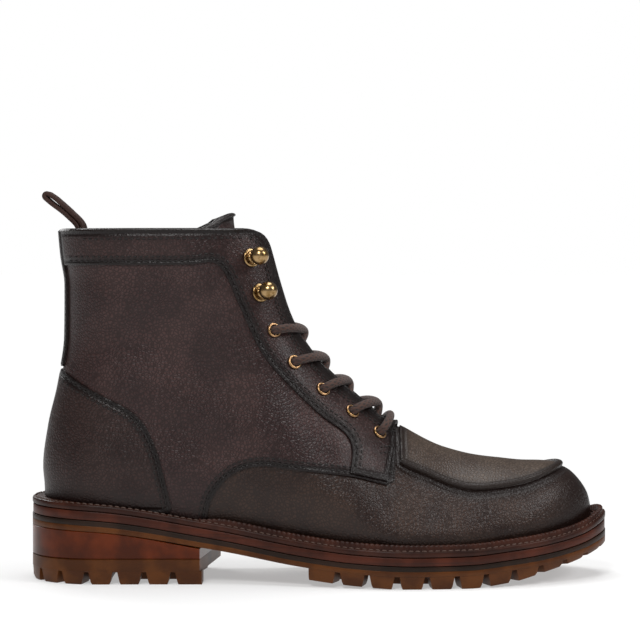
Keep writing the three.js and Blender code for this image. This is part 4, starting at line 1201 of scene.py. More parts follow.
@dataclass
class UpperPart:
    """Upper with its overlays, rolled edge, apron lip and stitches."""

    form: BootForm
    skin: Skin
    quarter_level: float = 1.3
    outer_level: float = 1.6
    overlay_level: float = 2.6
    thread_mm: float = 0.78
    pitch: float = 3.0
    backstay_width: float = 17
    apron_width: float = 62
    lip: tuple[tuple[float, float], ...] = (
        (-1.7, -1.6), (-1.75, 0.5), (-1.3, 1.15), (-0.5, 1.5), (0.5, 1.5), (1.3, 1.1), (1.75, 0.4), (1.7, -1.6))

    def line(self, rows: Sequence[Sequence[float]]) -> np.ndarray:
        """Smooth line in side view through a table's rows."""
        return spline([self.form.side_point(r) for r in rows], 6, 0)

    def outline(self, *parts: np.ndarray | Sequence[float]) -> np.ndarray:
        """Closed outline from lines and single rows."""
        return np.vstack([p if isinstance(p, np.ndarray) else self.form.side_point(p)[None] for p in parts])

    def apron_line(self, inset: float) -> np.ndarray:
        """Plan outline of the apron, from the rear of the outer side round the toe.

        Args:
            inset: distance in from its edge.

        Returns:
            The points.
        """
        f = self.form
        rear, front = 0.275 * f.reach, f.toe - 0.1 * f.reach - inset
        x = mix(rear, front, np.sin(np.pi / 2 * np.linspace(0, 1, 60)))
        taper = mix(0.8, 1, smooth(rear, rear + 0.3 * f.reach, x))
        half = np.maximum(0, self.apron_width / 2 * taper * crown(front - x, 0.36 * f.reach, 2.2) - inset)
        sides = [np.stack([x, f.centre(x) + s * half], axis=1) for s in Side]
        return np.vstack([sides[0], sides[1][::-1][1:]])

    def fields(self) -> dict[str, np.ndarray]:
        """Distance inside each overlay's outline at each point of the skin.

        Returns:
            The distances by the overlay's name.
        """
        f, p = self.form, self.skin.sheet.points
        side_view, out = p[:, [0, 2]], {}
        across = p[:, 1] - f.centre(p[:, 0])
        tab = self.line(TAB_FRONT)
        out["quarter"] = inside_distance(self.outline(
            self.line(QUARTER_EDGE), tab, (0.3, 0.5), (0.3, 1.4), (-1.4, 1.4), (-1.4, -0.12)), side_view)
        band = inside_distance(self.outline(
            (-1.4, 0.876), self.line(COLLAR_SEAM), (0.225, 0.083), tab[6:] - [1.2, 0], (0.29, 0.5), (0.29, 1.4),
            (-1.4, 1.4)), side_view)
        band = np.minimum(band, np.where(p[:, 0] < -0.6 * f.reach, np.abs(p[:, 1]) - self.backstay_width / 2 - 0.3, 99))
        out["facing_outer"] = np.where(across < 0, band, -np.abs(band) - 0.1)
        out["facing_inner"] = np.where(across > 0, band, -np.abs(band) - 0.1)
        out["heel_counter"] = inside_distance(self.outline(
            (-1.4, 0.487), self.line(COUNTER_EDGE), (-1.4, -0.03)), side_view)
        low = float(self.form.side_point((0, 0.487))[1]) + 1.2
        out["backstay"] = np.minimum.reduce([
            self.backstay_width / 2 - np.abs(p[:, 1]), p[:, 2] - low, -0.6 * f.reach - p[:, 0]])
        out["apron"] = inside_distance(self.apron_line(0), p[:, :2])
        return out

    def burnish(self, fields: dict[str, np.ndarray]) -> np.ndarray:
        """How far the leather is darkened at each point: rubbed dark at the toe, and darker towards the feather line
        and beside the apron.

        Args:
            fields: distance inside each overlay's outline.

        Returns:
            A share for each point.
        """
        f, p = self.form, self.skin.sheet.points
        toe = 0.9 * smooth(0.66 * f.reach, 0.93 * f.reach, p[:, 0]) * smooth(4, -9, fields["apron"])
        # Darker towards the feather line, and in a band beside the apron's edge
        foot = 0.55 * smooth(13, 1, p[:, 2] - f.welt_top(p[:, 0]))
        seam = 0.5 * np.exp(-((np.minimum(0, fields["apron"]) / 4) ** 2)) * (fields["apron"] < 1)
        return np.clip(toe + foot + seam, 0, 0.85)

    def panel(self, panel: Panel, sheet: Sheet, edge: np.ndarray) -> bpy.types.Object:
        """Build one overlay with its cut edge.

        Args:
            panel: its node, slot, levels and leather.
            sheet: the part of the skin that it covers.
            edge: distance in from its cut edge at each point.

        Returns:
            The object, which stands for the panel's node.
        """
        solid = Solid()
        soft = np.clip(edge / 0.9, 0, 1)
        top = sheet.moved(panel.high - 0.3 * (1 - soft) ** 2)
        solid.add(top, sheet.triangles, edge=edge, burnish=sheet.values["burnish"])
        rim = np.array(sheet.rim())
        n = len(rim)
        ends = np.vstack([top[rim[:, 0]], top[rim[:, 1]], sheet.moved(panel.low)[rim[:, 0]],
                          sheet.moved(panel.low)[rim[:, 1]]])
        faces = [(n + i, i, 2 * n + i, 3 * n + i) for i in range(n)]
        solid.add(ends, faces, edge=np.zeros(4 * n), burnish=np.full(4 * n, 0.5))
        return solid.build(f"{panel.name}_dressed", panel.leather.material(), [panel.name], panel.slot)

    def stitch_row(self, solid: Solid, line: np.ndarray, offset: float, lift: float,
                   find: Callable[[np.ndarray, float], Found], pitch: float = 0) -> None:
        """Add stitches along a line.

        Args:
            solid: mesh they go into.
            line: the line in the view that find looks along.
            offset: distance of the row from the line.
            lift: level of the leather off the skin.
            find: finds the place and normal of a point of the view.
            pitch: length of one stitch with its gap.
        """
        ahead = unit(np.gradient(line, axis=0))
        row = line + np.stack([-ahead[:, 1], ahead[:, 0]], axis=1) * offset
        pitch = pitch or self.pitch
        spots = walk(row, np.arange(pitch / 2, length_of(row), pitch / 2))
        found = [find(s, lift) for s in spots]
        for i in range(1, len(found) - 1, 2):
            if found[i - 1] is None or found[i] is None or found[i + 1] is None:
                continue
            along = found[i + 1][0] - found[i - 1][0]
            if 0.3 * pitch < np.linalg.norm(along) < 2 * pitch:
                solid.stitch(found[i][0], unit(along), found[i][1], pitch * 0.74, self.thread_mm)

    def stitches(self) -> bpy.types.Object:
        """Build every row of stitches."""
        solid, f = Solid(), self.form
        edge = self.skin.edge
        for side in Side:
            def find(p: np.ndarray, lift: float, side: int = side) -> Found:
                """Place and normal of a point in side view."""
                return self.skin.from_side(p[0], p[1], side, lift)

            for offset in (GROOVE_MM, 4.3):
                self.stitch_row(solid, self.line(COLLAR_SEAM), offset, self.overlay_level, find)
                self.stitch_row(solid, self.line(COUNTER_EDGE), -offset, self.overlay_level, find)
                self.stitch_row(solid, self.line(QUARTER_EDGE), offset, self.quarter_level, find)
                self.stitch_row(solid, walk(edge, np.linspace(0, length_of(edge), 90)), -offset * 0.5 - 2.2,
                                self.overlay_level, find)
            self.stitch_row(solid, self.line(TAB_FRONT), 2.4, self.overlay_level, find)
            for up in (0.178, 0.198):
                tack = spline([f.side_point((0.186, up)), f.side_point((0.243, up))], 8)
                self.stitch_row(solid, tack, 0, self.overlay_level, find, 2.2)
            top = np.array([[float(f.back_at(f.collar)) + 12, f.collar], [edge[0, 0], f.collar]])
            self.stitch_row(solid, walk(top, np.linspace(0, length_of(top), 40)), -4.2, self.overlay_level, find)

            def behind(p: np.ndarray, lift: float) -> Found:
                """Place and normal of a point seen from the back."""
                return self.skin.hit((-400, p[0], p[1]), (1, 0, 0), lift)

            low, y = float(f.side_point((0, 0.5))[1]), side * (self.backstay_width / 2 - 2)
            row = np.stack([np.full(60, y), np.linspace(low, f.collar - 2, 60)], axis=1)
            self.stitch_row(solid, row, 0, self.overlay_level, behind)

        return solid.build("upper_stitches", Plain("waxed thread", "110b09", 0.7).material(), slot="shaft_leather")

    def swept(self, places: Sequence[tuple[np.ndarray, np.ndarray]], section: np.ndarray) -> Solid:
        """Section swept through found places, its second column along their normals.

        Args:
            places: places and normals.
            section: closed outline.

        Returns:
            The solid with the values of its leather.
        """
        solid = Solid()
        solid.sweep(np.array([p[0] for p in places]), np.array([p[1] for p in places]), section)
        solid.values.update(edge=[np.full(solid.count, 0.6)], burnish=[np.full(solid.count, 0.35)])
        return solid

    def build(self) -> None:
        """Build the upper, its overlays, edges and stitches."""
        self.wall(self.fields())
        self.overlays()
        self.apron_lip()
        self.collar_roll()
        self.stitches()

    def wall(self, fields: dict[str, np.ndarray]) -> None:
        """Build the upper's wall from its two faces.

        Args:
            fields: distance inside each overlay's outline at each point of the skin.
        """
        sheet, f = self.skin.sheet, self.form
        top_line = np.vstack([[float(f.back_at(f.collar)) - 9, f.collar], self.skin.edge])
        box = np.vstack([top_line, [[60, 300], [-400, 300], [-400, f.collar]]])
        rim_gap = np.abs(inside_distance(box, sheet.points[:, [0, 2]]))
        sheet.values = {**fields, "burnish": self.burnish(fields), "rim": rim_gap}
        solid = Solid()
        outer_edge = np.maximum(0.5, -fields["apron"])
        solid.add(sheet.points, sheet.triangles, edge=outer_edge, burnish=sheet.values["burnish"])
        inner = sheet.moved(-f.wall)
        inner[:, 2] = np.where(sheet.points[:, 2] < f.welt_top(sheet.points[:, 0]) + 1, sheet.points[:, 2], inner[:, 2])
        n, rim = len(inner), sheet.rim()
        solid.add(inner, sheet.triangles[:, ::-1], edge=np.full(n, 9), burnish=np.full(n, 0.3))
        solid.faces += [(b, a, n + a, n + b) for a, b in rim]
        solid.build("upper_dressed", VAMP_LEATHER.material(), ["upper"], "vamp_leather")

    def overlays(self) -> None:
        """Cut each overlay out of the skin and build it."""
        panels = (
            Panel("quarter", "shaft_leather", 0.2, self.quarter_level, SHAFT),
            Panel("heel_counter", "counter_leather", 1.2, self.overlay_level, COUNTER),
            Panel("backstay", "counter_leather", 1.2, self.overlay_level + 0.4, COUNTER),
            Panel("facing_outer", "facing_leather", 1.2, self.overlay_level, FACINGS),
            Panel("facing_inner", "facing_leather", 1.2, self.overlay_level, FACINGS),
            Panel("apron", "apron_leather", 0.2, self.quarter_level, APRON),
        )
        for panel in panels:
            part = self.skin.sheet.clipped(panel.name)
            edge = part.values[panel.name]
            if panel.name != "apron":
                edge = np.minimum(edge, part.values["rim"] + 0.6)
            self.panel(panel, part, edge)

    def apron_lip(self) -> None:
        """Build the raised lip round the apron."""
        line = self.apron_line(1.2)
        outline = walk(line, np.linspace(0, length_of(line), 190))
        found = [self.skin.from_above(p[0], p[1], self.quarter_level + 0.1) for p in outline]
        lip = self.swept([p for p in found if p is not None], np.array(self.lip))
        lip.build("apron_lip", APRON.material(), slot="apron_leather")

    def collar_roll(self) -> None:
        """Build the rolled edge round the collar and down the facings."""
        sheet = self.skin.sheet
        path, normals = sheet.points[self.skin.rim], sheet.normals[self.skin.rim]
        ahead = np.gradient(path, axis=0)
        out = unit(np.cross(normals, ahead))
        out *= np.sign(out[len(out) // 2, 2])
        middle = path + normals * 0.25 + out * 0.1
        roll = circle(1, 12) * [(self.overlay_level + self.form.wall) / 2 + 0.25, 1.15]
        edge = self.swept(list(zip(middle, out)), roll)
        edge.build("collar_roll", FACINGS.material(), slot="facing_leather")


@dataclass
class TonguePart:
    """Curved tongue behind the facings, with a bound edge."""

    form: BootForm
    thickness: float = 3
    width: float = 44
    top: float = 191
    lean: float = 16
    seat: float = 3.4

    def depth(self, y: np.ndarray, z: np.ndarray, x: np.ndarray, inset: np.ndarray) -> np.ndarray:
        """Distance behind the ridge where the inset upper is as wide as y.

        Args:
            y: sideways place.
            z: height.
            x: place of the ridge.
            inset: distance in from the upper.

        Returns:
            The distance.
        """
        f = self.form
        low, high = np.zeros_like(y), np.full_like(y, 1.1 * f.instep)
        for _ in range(26):
            q = (low + high) / 2
            half = np.where(y < 0, f.inset_half(x - q, z, -1, inset), f.inset_half(x - q, z, 1, inset))
            low, high = np.where(half < np.abs(y), q, low), np.where(half < np.abs(y), high, q)
        return low

    def sheet(self, inset: float, rows: int = 54, columns: int = 30) -> np.ndarray:
        """Points of one face of the tongue, in rows from the throat up.

        Args:
            inset: distance in from the upper.
            rows: rows of faces.
            columns: faces in a row.

        Returns:
            The points.
        """
        f = self.form
        line = f.curves["ridge"][f.curves["throat"] - 24:]
        low = float(f.welt_top(f.throat)) + f.instep * 0.93
        z, share = np.meshgrid(np.linspace(low, self.top, rows + 1), np.linspace(-1, 1, columns + 1), indexing="ij")
        end = 1 - 0.34 * smooth(self.top - 9, self.top + 1, z) ** 1.4
        y = share * self.width / 2 * mix(0.62, 1, smooth(low, low + 60, z)) * end
        under = inset + 1.2 * (1 - smooth(low, low + 16, z))
        height = np.minimum(z, f.collar - 1)
        x = np.interp(height, line[:, 1], line[:, 0])
        x = x - self.depth(y, height, x, under) - self.lean * smooth(f.collar - 52, self.top, z)
        z = z - 3.2 * (share**2) * smooth(self.top - 16, self.top, z)
        return np.stack([x, f.centre(x) + y, z], axis=2)

    def build(self) -> None:
        """Build the tongue and its edge binding."""
        outer, inner = self.sheet(self.seat), self.sheet(self.seat + self.thickness)
        rows, columns = outer.shape[:2]
        solid = Solid()
        n = rows * columns
        share = np.abs(np.linspace(-1, 1, columns))[None] * np.ones((rows, 1))
        gap = np.minimum((1 - share) * self.width / 2, np.linspace(rows, 0.3, rows)[:, None] * 1.9)
        faces = []
        for r in range(rows - 1):
            for c in range(columns - 1):
                a = r * columns + c
                faces += [(a, a + 1, a + columns + 1, a + columns),
                          (n + a + 1, n + a, n + a + columns, n + a + columns + 1)]
            e = r * columns + columns - 1
            faces += [(r * columns, (r + 1) * columns, n + (r + 1) * columns, n + r * columns),
                      (e + columns, e, n + e, n + e + columns)]
        for c in range(columns - 1):
            t = (rows - 1) * columns + c
            faces += [(c + 1, c, n + c, n + c + 1), (t, t + 1, n + t + 1, n + t)]
        both = np.concatenate([gap.ravel(), gap.ravel()])
        solid.add(np.vstack([outer.reshape(-1, 3), inner.reshape(-1, 3)]), faces, edge=both + 0.6, burnish=0 * both)
        solid.build("tongue_dressed", SHAFT.material(), ["tongue"], "shaft_leather")
        half = rows // 2
        edge = np.vstack([outer[half:, 0], outer[-1, 1:-1], outer[half:, -1][::-1]])
        back = np.vstack([inner[half:, 0], inner[-1, 1:-1], inner[half:, -1][::-1]])
        binding = Solid()
        binding.sweep((edge + back) / 2, unit(edge - back), circle(1, 10) * [1.1, self.thickness / 2 + 0.5])
        binding.values.update(edge=[np.full(binding.count, 0.4)], burnish=[np.full(binding.count, 0.3)])
        binding.build("tongue_binding", FACINGS.material(), slot="shaft_leather")


@dataclass
class PullLoopPart:
    """Folded strap sewn inside the back of the collar."""

    form: BootForm
    width: float = 15
    tail: float = 16
    strap: float = 2.3

    def inside_back(self, z: float) -> float:
        """Inner face of the back where it is as wide as the loop.

        Args:
            z: height.

        Returns:
            Its place along the boot.
        """
        f = self.form
        q = np.linspace(0, 0.28 * f.reach, 400)
        half = f.inset_half(float(f.back_at(z)) + q, np.full_like(q, z), -1, f.wall)
        return float(f.back_at(z)) + float(q[np.argmax(half >= self.width / 2)])

    def build(self) -> None:
        """Build the strap as one band that runs up, folds over and comes back."""
        top = self.form.collar
        x = max(self.inside_back(top - 1 - d) for d in (0, self.tail / 2, self.tail)) + 1.5 + self.strap + 0.6
        centre_line = spline([(x, top - self.tail), (x, top - 6), (x - 0.2, top + 2.4), (x - 6, top + 9),
                              (x - 12.6, top + 14.6), (x - 17.2, top + 18.2)], 12)
        ahead = unit(np.gradient(centre_line, axis=0))
        aside = np.stack([-ahead[:, 1], ahead[:, 0]], axis=1)
        share = np.linspace(0, 1, len(centre_line))[:, None]
        apart = self.strap / 2 + 0.15 + 0.35 * np.exp(-(((share - 0.86) / 0.16) ** 2))
        bend = [centre_line[-1] + ahead[-1] * 1.7 * math.sin(a) + aside[-1] * apart[-1] * math.cos(a)
                for a in np.linspace(0, math.pi, 9)[1:-1]]
        band = np.vstack([centre_line + aside * apart, bend, (centre_line - aside * apart)[::-1]])
        path = np.stack([band[:, 0], np.zeros(len(band)), band[:, 1]], axis=1)
        ups = np.gradient(path, axis=0) @ np.array([[0, 0, 1], [0, 0, 0], [-1, 0, 0]])
        w, t = self.width / 2, self.strap / 2
        section = np.array([(-w, -t * 0.5), (-w + 0.5, -t), (w - 0.5, -t), (w, -t * 0.5), (w, t * 0.5), (w - 0.5, t),
                            (-w + 0.5, t), (-w, t * 0.5)])
        solid = Solid()
        solid.sweep(path, unit(ups), section)
        aside = np.abs(np.tile(section[:, 0], len(path)))
        solid.values.update(edge=[w - aside + 0.2], burnish=[0 * aside])
        loop = Leather("loop leather", "553023", "6a3f2e", "2a1610", 0.9, 0.1, 0.6)
        solid.build("pull_loop_dressed", loop.material(), ["pull_loop"], "loop_leather")


@dataclass
class Metalwork:
    """Rolled brass eyelets and ball hooks."""

    form: BootForm
    level: float = 2.6
    neck: float = 1.75
    ball: float = 4.8
    ball_height: float = 8.7
    eyelet: tuple[tuple[float, float], ...] = (
        (2.35, -2.2), (2.9, -2.2), (2.9, 0.2), (3.5, 0.2), (3.8, 0.35), (3.86, 0.7), (3.7, 1.05), (3.35, 1.3),
        (2.95, 1.32), (2.6, 1.1), (2.4, 0.7), (2.35, -2.2))
    hook: tuple[tuple[float, float], ...] = (
        (0, 0.25), (4.5, 0.25), (4.8, 0.45), (4.85, 0.9), (4.6, 1.3), (4.1, 1.45), (3.3, 1.35), (2.4, 1.3),
        (1.9, 1.6), (1.75, 2.4), (1.75, 4.2))

    def build(self) -> None:
        """Build each eyelet and hook at its row."""
        brass = Brass("eyelet brass", "b28d68", 0.3).material()
        ball_brass = Brass("hook brass", "a58962", 0.25).material()
        start = -math.acos(self.neck / self.ball)
        ball = [(self.ball * math.cos(a), self.ball_height + self.ball * math.sin(a))
                for a in np.linspace(start, math.pi / 2, 14)]
        for side in Side:
            for kind, rows, profile, finish in (
                    ("eyelet", EYELETS, self.eyelet, brass), ("hook", HOOKS, (*self.hook, *ball), ball_brass)):
                for i, row in enumerate(rows, 1):
                    x, z = self.form.side_point(row)
                    solid = Solid()
                    solid.lathe(profile, *self.form.surface(float(x), float(z), side, self.level))
                    node = f"{kind}_{side.name.lower()}_{i}"
                    solid.build(node + "_dressed", finish, [node], f"{kind}_brass", 50)


@dataclass
class LacePart:
    """One round braided lace from eyelet to eyelet, its ends hidden inside at the top eyelets."""

    form: BootForm
    thickness: float = 4.4
    level: float = 2.6
    hump_lift: float = 2.6
    rise_over: float = 0.5

    def at(self, row: Sequence[float], side: int, lift: float) -> np.ndarray:
        """Place over an eyelet."""
        x, z = self.form.side_point(row)
        return self.form.surface(float(x), float(z), side, self.level + lift)[0]

    def hump(self, first: Sequence[float], second: Sequence[float]) -> np.ndarray:
        """Top of a crossing, out from the ridge.

        Args:
            first: row of one eyelet.
            second: row of the other.

        Returns:
            The point.
        """
        f = self.form
        line, throat = f.curves["ridge"], f.curves["throat"]
        middle = (f.side_point(first) + f.side_point(second)) / 2
        i = throat + int(np.argmin(np.linalg.norm(line[throat:] - middle, axis=1)))
        ahead = unit(line[min(i + 1, len(line) - 1)] - line[i - 1])
        place = line[i] + np.array([ahead[1], -ahead[0]]) * self.hump_lift
        return np.array([place[0], float(f.centre(place[0])), place[1]])

    def over(self, row: Sequence[float], side: int, top: np.ndarray, share: float, lift: float) -> np.ndarray:
        """Place over the leather part of the way to the top of a crossing.

        Args:
            row: row of the eyelet.
            side: sign of Y.
            top: top of the crossing.
            share: part of the way.
            lift: distance out from the leather.

        Returns:
            The place.
        """
        x, z = self.form.side_point(row)
        return self.form.surface(mix(float(x), top[0], share), mix(float(z), top[2], share), side, self.level + lift)[0]

    def strand(self, first: Sequence[float], side: int, second: Sequence[float], dives: bool) -> list[np.ndarray]:
        """Route out of one eyelet, over the gap and into the other side's next eyelet.

        Args:
            first: row of the first eyelet.
            side: its side.
            second: row of the other eyelet.
            dives: whether it ends under the facing's edge.

        Returns:
            The points of the route.
        """
        top = self.hump(first, second)
        half = self.thickness / 2
        route = [self.at(first, side, -5), self.at(first, side, 0.6), self.over(first, side, top, 0.08, half + 1.0),
                 self.over(first, side, top, 0.34, half + 1.6), top]
        if dives:
            route += [self.over(second, -side, top, 0.52, -self.level - 1.0), self.at(second, -side, -6.2)]
        else:
            route += [self.over(second, -side, top, 0.34, half + 1.6), self.over(second, -side, top, 0.08, half + 1.0),
                      self.at(second, -side, 0.6), self.at(second, -side, -5)]
        return route

    def build(self) -> None:
        """Build the two chains of crossings and the bar across the lowest eyelets."""
        solid = Solid()
        routes = []
        for start in Side:
            for i, (first, second) in enumerate(zip(EYELETS[:-1], EYELETS[1:])):
                routes.append((self.strand(first, start * (-1) ** i, second, True), self.rise_over * (i % 2)))
        routes.append((self.strand(EYELETS[-1], Side.OUTER, EYELETS[-1], False), 0))
        for route, rise in routes:
            path = spline(route, 12)
            lift = rise * np.exp(-(((np.linspace(0, 1, len(path)) - 0.62) / 0.12) ** 2))
            path = path + lift[:, None] * np.array([0.8, 0, 0.6])
            ups = np.tile([0.55, 0.0, 0.83], (len(path), 1))
            solid.sweep(path, ups, circle(self.thickness / 2, 16), wind=self.thickness * 0.9)
        solid.build("lace_dressed", Cord("braided cotton", "40261c", "1a0d09").material(), ["lace"], "lace_cord", 80)


@dataclass
class SolePart:
    """Welt, midsole, outsole with its lugs, heel block, heel lift and insole."""

    form: BootForm
    gap: float = 4.0
    pitch: float = 15.2
    depth: float = 15.0
    heel_length: float = 94
    waist_length: float = 52
    slant: float = 4
    stitch_pitch: float = 3.4
    rib_step: float = 0.55
    tooth: float = 2.6
    rib_fade: float = 14

    def layer(self, top: Height, bottom: Height, inset: float, bevel: float = 0.45) -> Solid:
        """Layer of the sole with rounded edges.

        Args:
            top: its upper height.
            bottom: its lower height.
            inset: distance in from the edge.
            bevel: size of the rounding.

        Returns:
            The solid.
        """
        f = self.form
        mid = 0.3 * bevel
        solid = Solid()
        solid.stack([
            f.sole_loop(inset + bevel, bottom), f.sole_loop(inset + mid, lambda x: bottom(x) + mid),
            f.sole_loop(inset, lambda x: bottom(x) + bevel), f.sole_loop(inset, lambda x: top(x) - bevel),
            f.sole_loop(inset + mid, lambda x: top(x) - mid), f.sole_loop(inset + bevel, top),
        ])
        return solid

    def edge_line(self, start: float, end: float, inset: float = 0) -> np.ndarray:
        """Plan line of the sole's edge round an end, from the outer side to the inner side.

        Args:
            start: rear end of the line.
            end: front end, below 0 for the heel.
            inset: distance in from the edge.

        Returns:
            The points of the line.
        """
        loop = self.form.sole_loop(inset, lambda x: 0 * x, steps=160)[:, :2]
        outer, inner = np.split(loop, 2)
        if end > 0:
            line = np.vstack([outer, inner])
            return line[line[:, 0] >= start]
        line = np.vstack([outer[::-1], inner[::-1]])
        return line[line[:, 0] <= end]

    def lugs(self, solid: Solid, start: float, end: float, top: Height, bottom: Height) -> None:
        """Add a row of tapered lugs round an end of the sole.

        Args:
            solid: mesh they go into.
            start: rear end of the row.
            end: front end, below 0 for the heel.
            top: height of their roots.
            bottom: height of their tread.
        """
        line = self.edge_line(start, end)
        turn = 1 if end > 0 else -1
        whole = length_of(line)
        count = round(whole / self.pitch)
        for i in range(count):
            levels = []
            for share, inwards, grow in ((0, 1.3, -0.9), (0.22, 0.5, -0.3), (1, 0.15, 0.9)):
                low = whole * i / count + self.gap / 2 - grow
                high = whole * (i + 1) / count - self.gap / 2 + grow
                if i == 0:
                    low = max(0, low - self.gap)
                if i == count - 1:
                    high = min(whole, high + self.gap)
                s = np.linspace(low, high, 9)
                edge = walk(line, np.clip(s, 0, whole))
                ahead = unit(walk(line, np.clip(s + 1, 0, whole)) - walk(line, np.clip(s - 1, 0, whole)))
                inward = np.stack([-ahead[:, 1], ahead[:, 0]], axis=1) * turn
                outer, inner = edge + inward * inwards, (edge + inward * (self.depth - inwards))[::-1]
                ring = np.vstack([outer, inner])
                height = mix(bottom(ring[:, 0]), top(ring[:, 0]), share)
                ring = np.column_stack([ring, height])
                levels.append(ring if turn > 0 else ring[::-1])
            solid.stack(levels)

    def pads(self, solid: Solid, start: float, end: float, top: Height, bottom: Height) -> None:
        """Add the flat pads along the middle of the tread.

        Args:
            solid: mesh they go into.
            start: rear end.
            end: front end.
            top: height of their roots.
            bottom: height of their tread.
        """
        f = self.form
        count = max(1, round((end - start) / (self.pitch * 1.5)))
        for i in range(count):
            low, high = (mix(start, end, (i + k) / count) + s * self.gap / 2 for k, s in ((0, 1), (1, -1)))
            at = (low + high) / 2
            half = float(f.base_half(at, -1)) - self.depth - self.gap - 1
            levels = []
            for share, shrink in ((0, 1.0), (0.2, 0.3), (1, 0)):
                ring = np.array([(low + shrink, -half + shrink), (high - shrink, -half + shrink),
                                 (high - shrink, half - shrink), (low + shrink, half - shrink)])
                ring[:, 1] += float(f.centre(at))
                height = mix(bottom(ring[:, 0]), top(ring[:, 0]) + 0.5, share)
                levels.append(np.column_stack([ring, height]))
            solid.stack(levels)

    def build(self) -> None:
        """Build the layers from the ground up."""
        self.layers()
        self.heel()
        self.welt_strip()
        self.welt_thread()
        self.insole()

    @property
    def heel_end(self) -> float:
        """Place of the heel's front."""
        return -self.form.reach + self.heel_length

    def layers(self) -> None:
        """Build the outsole with its lugs and pads, and the midsole."""
        f, front = self.form, self.heel_end + self.waist_length
        thick = f.welt + f.midsole

        def top_of(layers: float, shift: float = 0) -> Height:
            """Height under the welt's top by layers of a thickness."""
            return lambda x: f.under(x, layers) + shift

        middle = thick + 0.5 * f.outsole
        dark = Rubber("outsole band", "1c110a", "2b1b12", 0.45).material()
        self.layer(top_of(thick, -0.3), top_of(middle), 0, 0.2).build("outsole_band", dark, slot="lug_rubber")
        outsole = self.layer(top_of(middle), top_of(thick + f.outsole), 0, 0.2)
        self.lugs(outsole, front, f.reach, top_of(thick + f.outsole, 1), f.tread)
        self.pads(outsole, front + self.depth * 0.5, f.reach - self.depth * 2.4, f.root, f.tread)
        outsole.build("outsole_dressed", TREAD.material(), ["outsole"], "lug_rubber")
        band = Rubber("midsole edge", "36170d", "4d2315", 0.42, line_mm=1.1).material()
        self.layer(top_of(f.welt), top_of(thick), 0.3).build("midsole_dressed", band, ["midsole"], "midsole_board")

    def heel(self) -> None:
        """Build the heel block and the lift with its lugs and pads."""
        f = self.form
        lift_top = f.lug + f.lift

        def level(up: float) -> Height:
            """Even height."""
            return lambda x: 0 * x + up

        block = Solid()
        cuts = {"start": -f.reach, "end": self.heel_end, "slant": self.slant}
        block.stack([
            f.sole_loop(i, h, **cuts) for i, h in (
                (0.4, level(lift_top + 0.1)), (0, level(lift_top + 0.5)),
                (0, lambda x: f.root(x) - 0.5), (0.4, lambda x: f.root(x) - 0.1))])
        heel = Rubber("heel rubber", "3e1603", "5c2407", 0.28, 0.05).material()
        block.build("heel_block_dressed", heel, ["heel_block"], "heel_rubber")

        lift = Solid()
        lift.stack([
            f.sole_loop(i, h, **cuts) for i, h in (
                (0.5, level(f.lug)), (0, level(f.lug + 0.6)), (0, level(lift_top - 0.4)), (0.4, level(lift_top)))])
        self.lugs(lift, -f.reach, self.heel_end - 2, level(f.lug + 0.5), level(0))
        self.pads(lift, -f.reach + self.depth * 1.5, self.heel_end - 2, level(f.lug), level(0))
        lift.build("heel_lift_dressed", TREAD.material(), ["heel_lift"], "lug_rubber")

    def welt_strip(self) -> None:
        """Build the welt with its toothed rib."""
        f = self.form
        inner = f.ledge * 2.6
        strip = Solid()
        loops = []
        for inset, up in ((0.8, 0), (0.2, 0.3), (0, 0.9), (0, 2.4), (0.25, 3.0), (0.9, 3.3), (inner, 3.3), (inner, 0)):
            share = up / f.welt
            loops.append(f.sole_loop(inset, lambda x, s=share: mix(f.under(x, f.welt) + 0.3, f.welt_top(x), s)))
        n = len(loops[0])
        m = len(loops)
        faces = [(i * n + k, i * n + (k + 1) % n, (i + 1) % m * n + (k + 1) % n, (i + 1) % m * n + k)
                 for i in range(m) for k in range(n)]
        strip.add(np.vstack(loops), faces)
        line = self.edge_line(-0.42 * f.reach, f.reach, 2.7)
        step = self.rib_step
        spots = walk(line, np.arange(0, length_of(line), step))
        height = f.welt_top(spots[:, 0])
        count = np.arange(len(spots))
        teeth = 0.5 + 0.5 * np.cos(count * step / self.tooth * 2 * np.pi)
        ends = smooth(0, self.rib_fade, count * step) * smooth(0, self.rib_fade, (len(spots) - count) * step)
        half = [(-1.2, -1), (-1.2, 0.6), (-0.9, 0.95)]
        rib = np.array([*half, (0, 1.05), *((-x, z) for x, z in half[::-1])]) * [1, 1.6]
        sizes = (0.95 + 0.1 * teeth) * (0.5 + 0.5 * ends)
        path = np.column_stack([spots, height + 1.2 * ends + 0.35 * teeth])
        strip.sweep(path, np.tile([0.0, 0.0, 1.0], (len(path), 1)), rib, sizes=sizes)
        strip.values.clear()
        finish = Rubber("welt leather", "29120b", "3d1f15", 0.4, line_mm=2.2).material()
        strip.build("welt_dressed", finish, ["welt"], "welt_leather")

    def welt_thread(self) -> None:
        """Build the row of stitches along the welt."""
        f, thread = self.form, Solid()
        line = self.edge_line(-f.reach, f.reach, 1.5)
        spots = walk(line, np.arange(1, length_of(line), self.stitch_pitch))
        for p, a in zip(spots, unit(np.gradient(spots, axis=0))):
            slope = float(f.welt_top(p[0] + 1) - f.welt_top(p[0] - 1)) / 2
            place = np.array([p[0], p[1], float(f.welt_top(p[0])) + 0.05])
            thread.stitch(place, unit(np.array([a[0], a[1], slope * a[0]])), np.array([0, 0, 1.0]), 2.7, 0.8)
        thread.build("welt_stitches", Plain("welt thread", "4a3328", 0.6).material(), slot="welt_leather")

    @staticmethod
    def insole() -> None:
        """Finish the insole, whose CAD shape stays."""
        insole = bpy.data.objects["insole"]
        insole.data.materials.clear()
        insole.data.materials.append(Plain("insole leather", "8a6a4c", 0.6).material())
        log.info("insole: finish only")


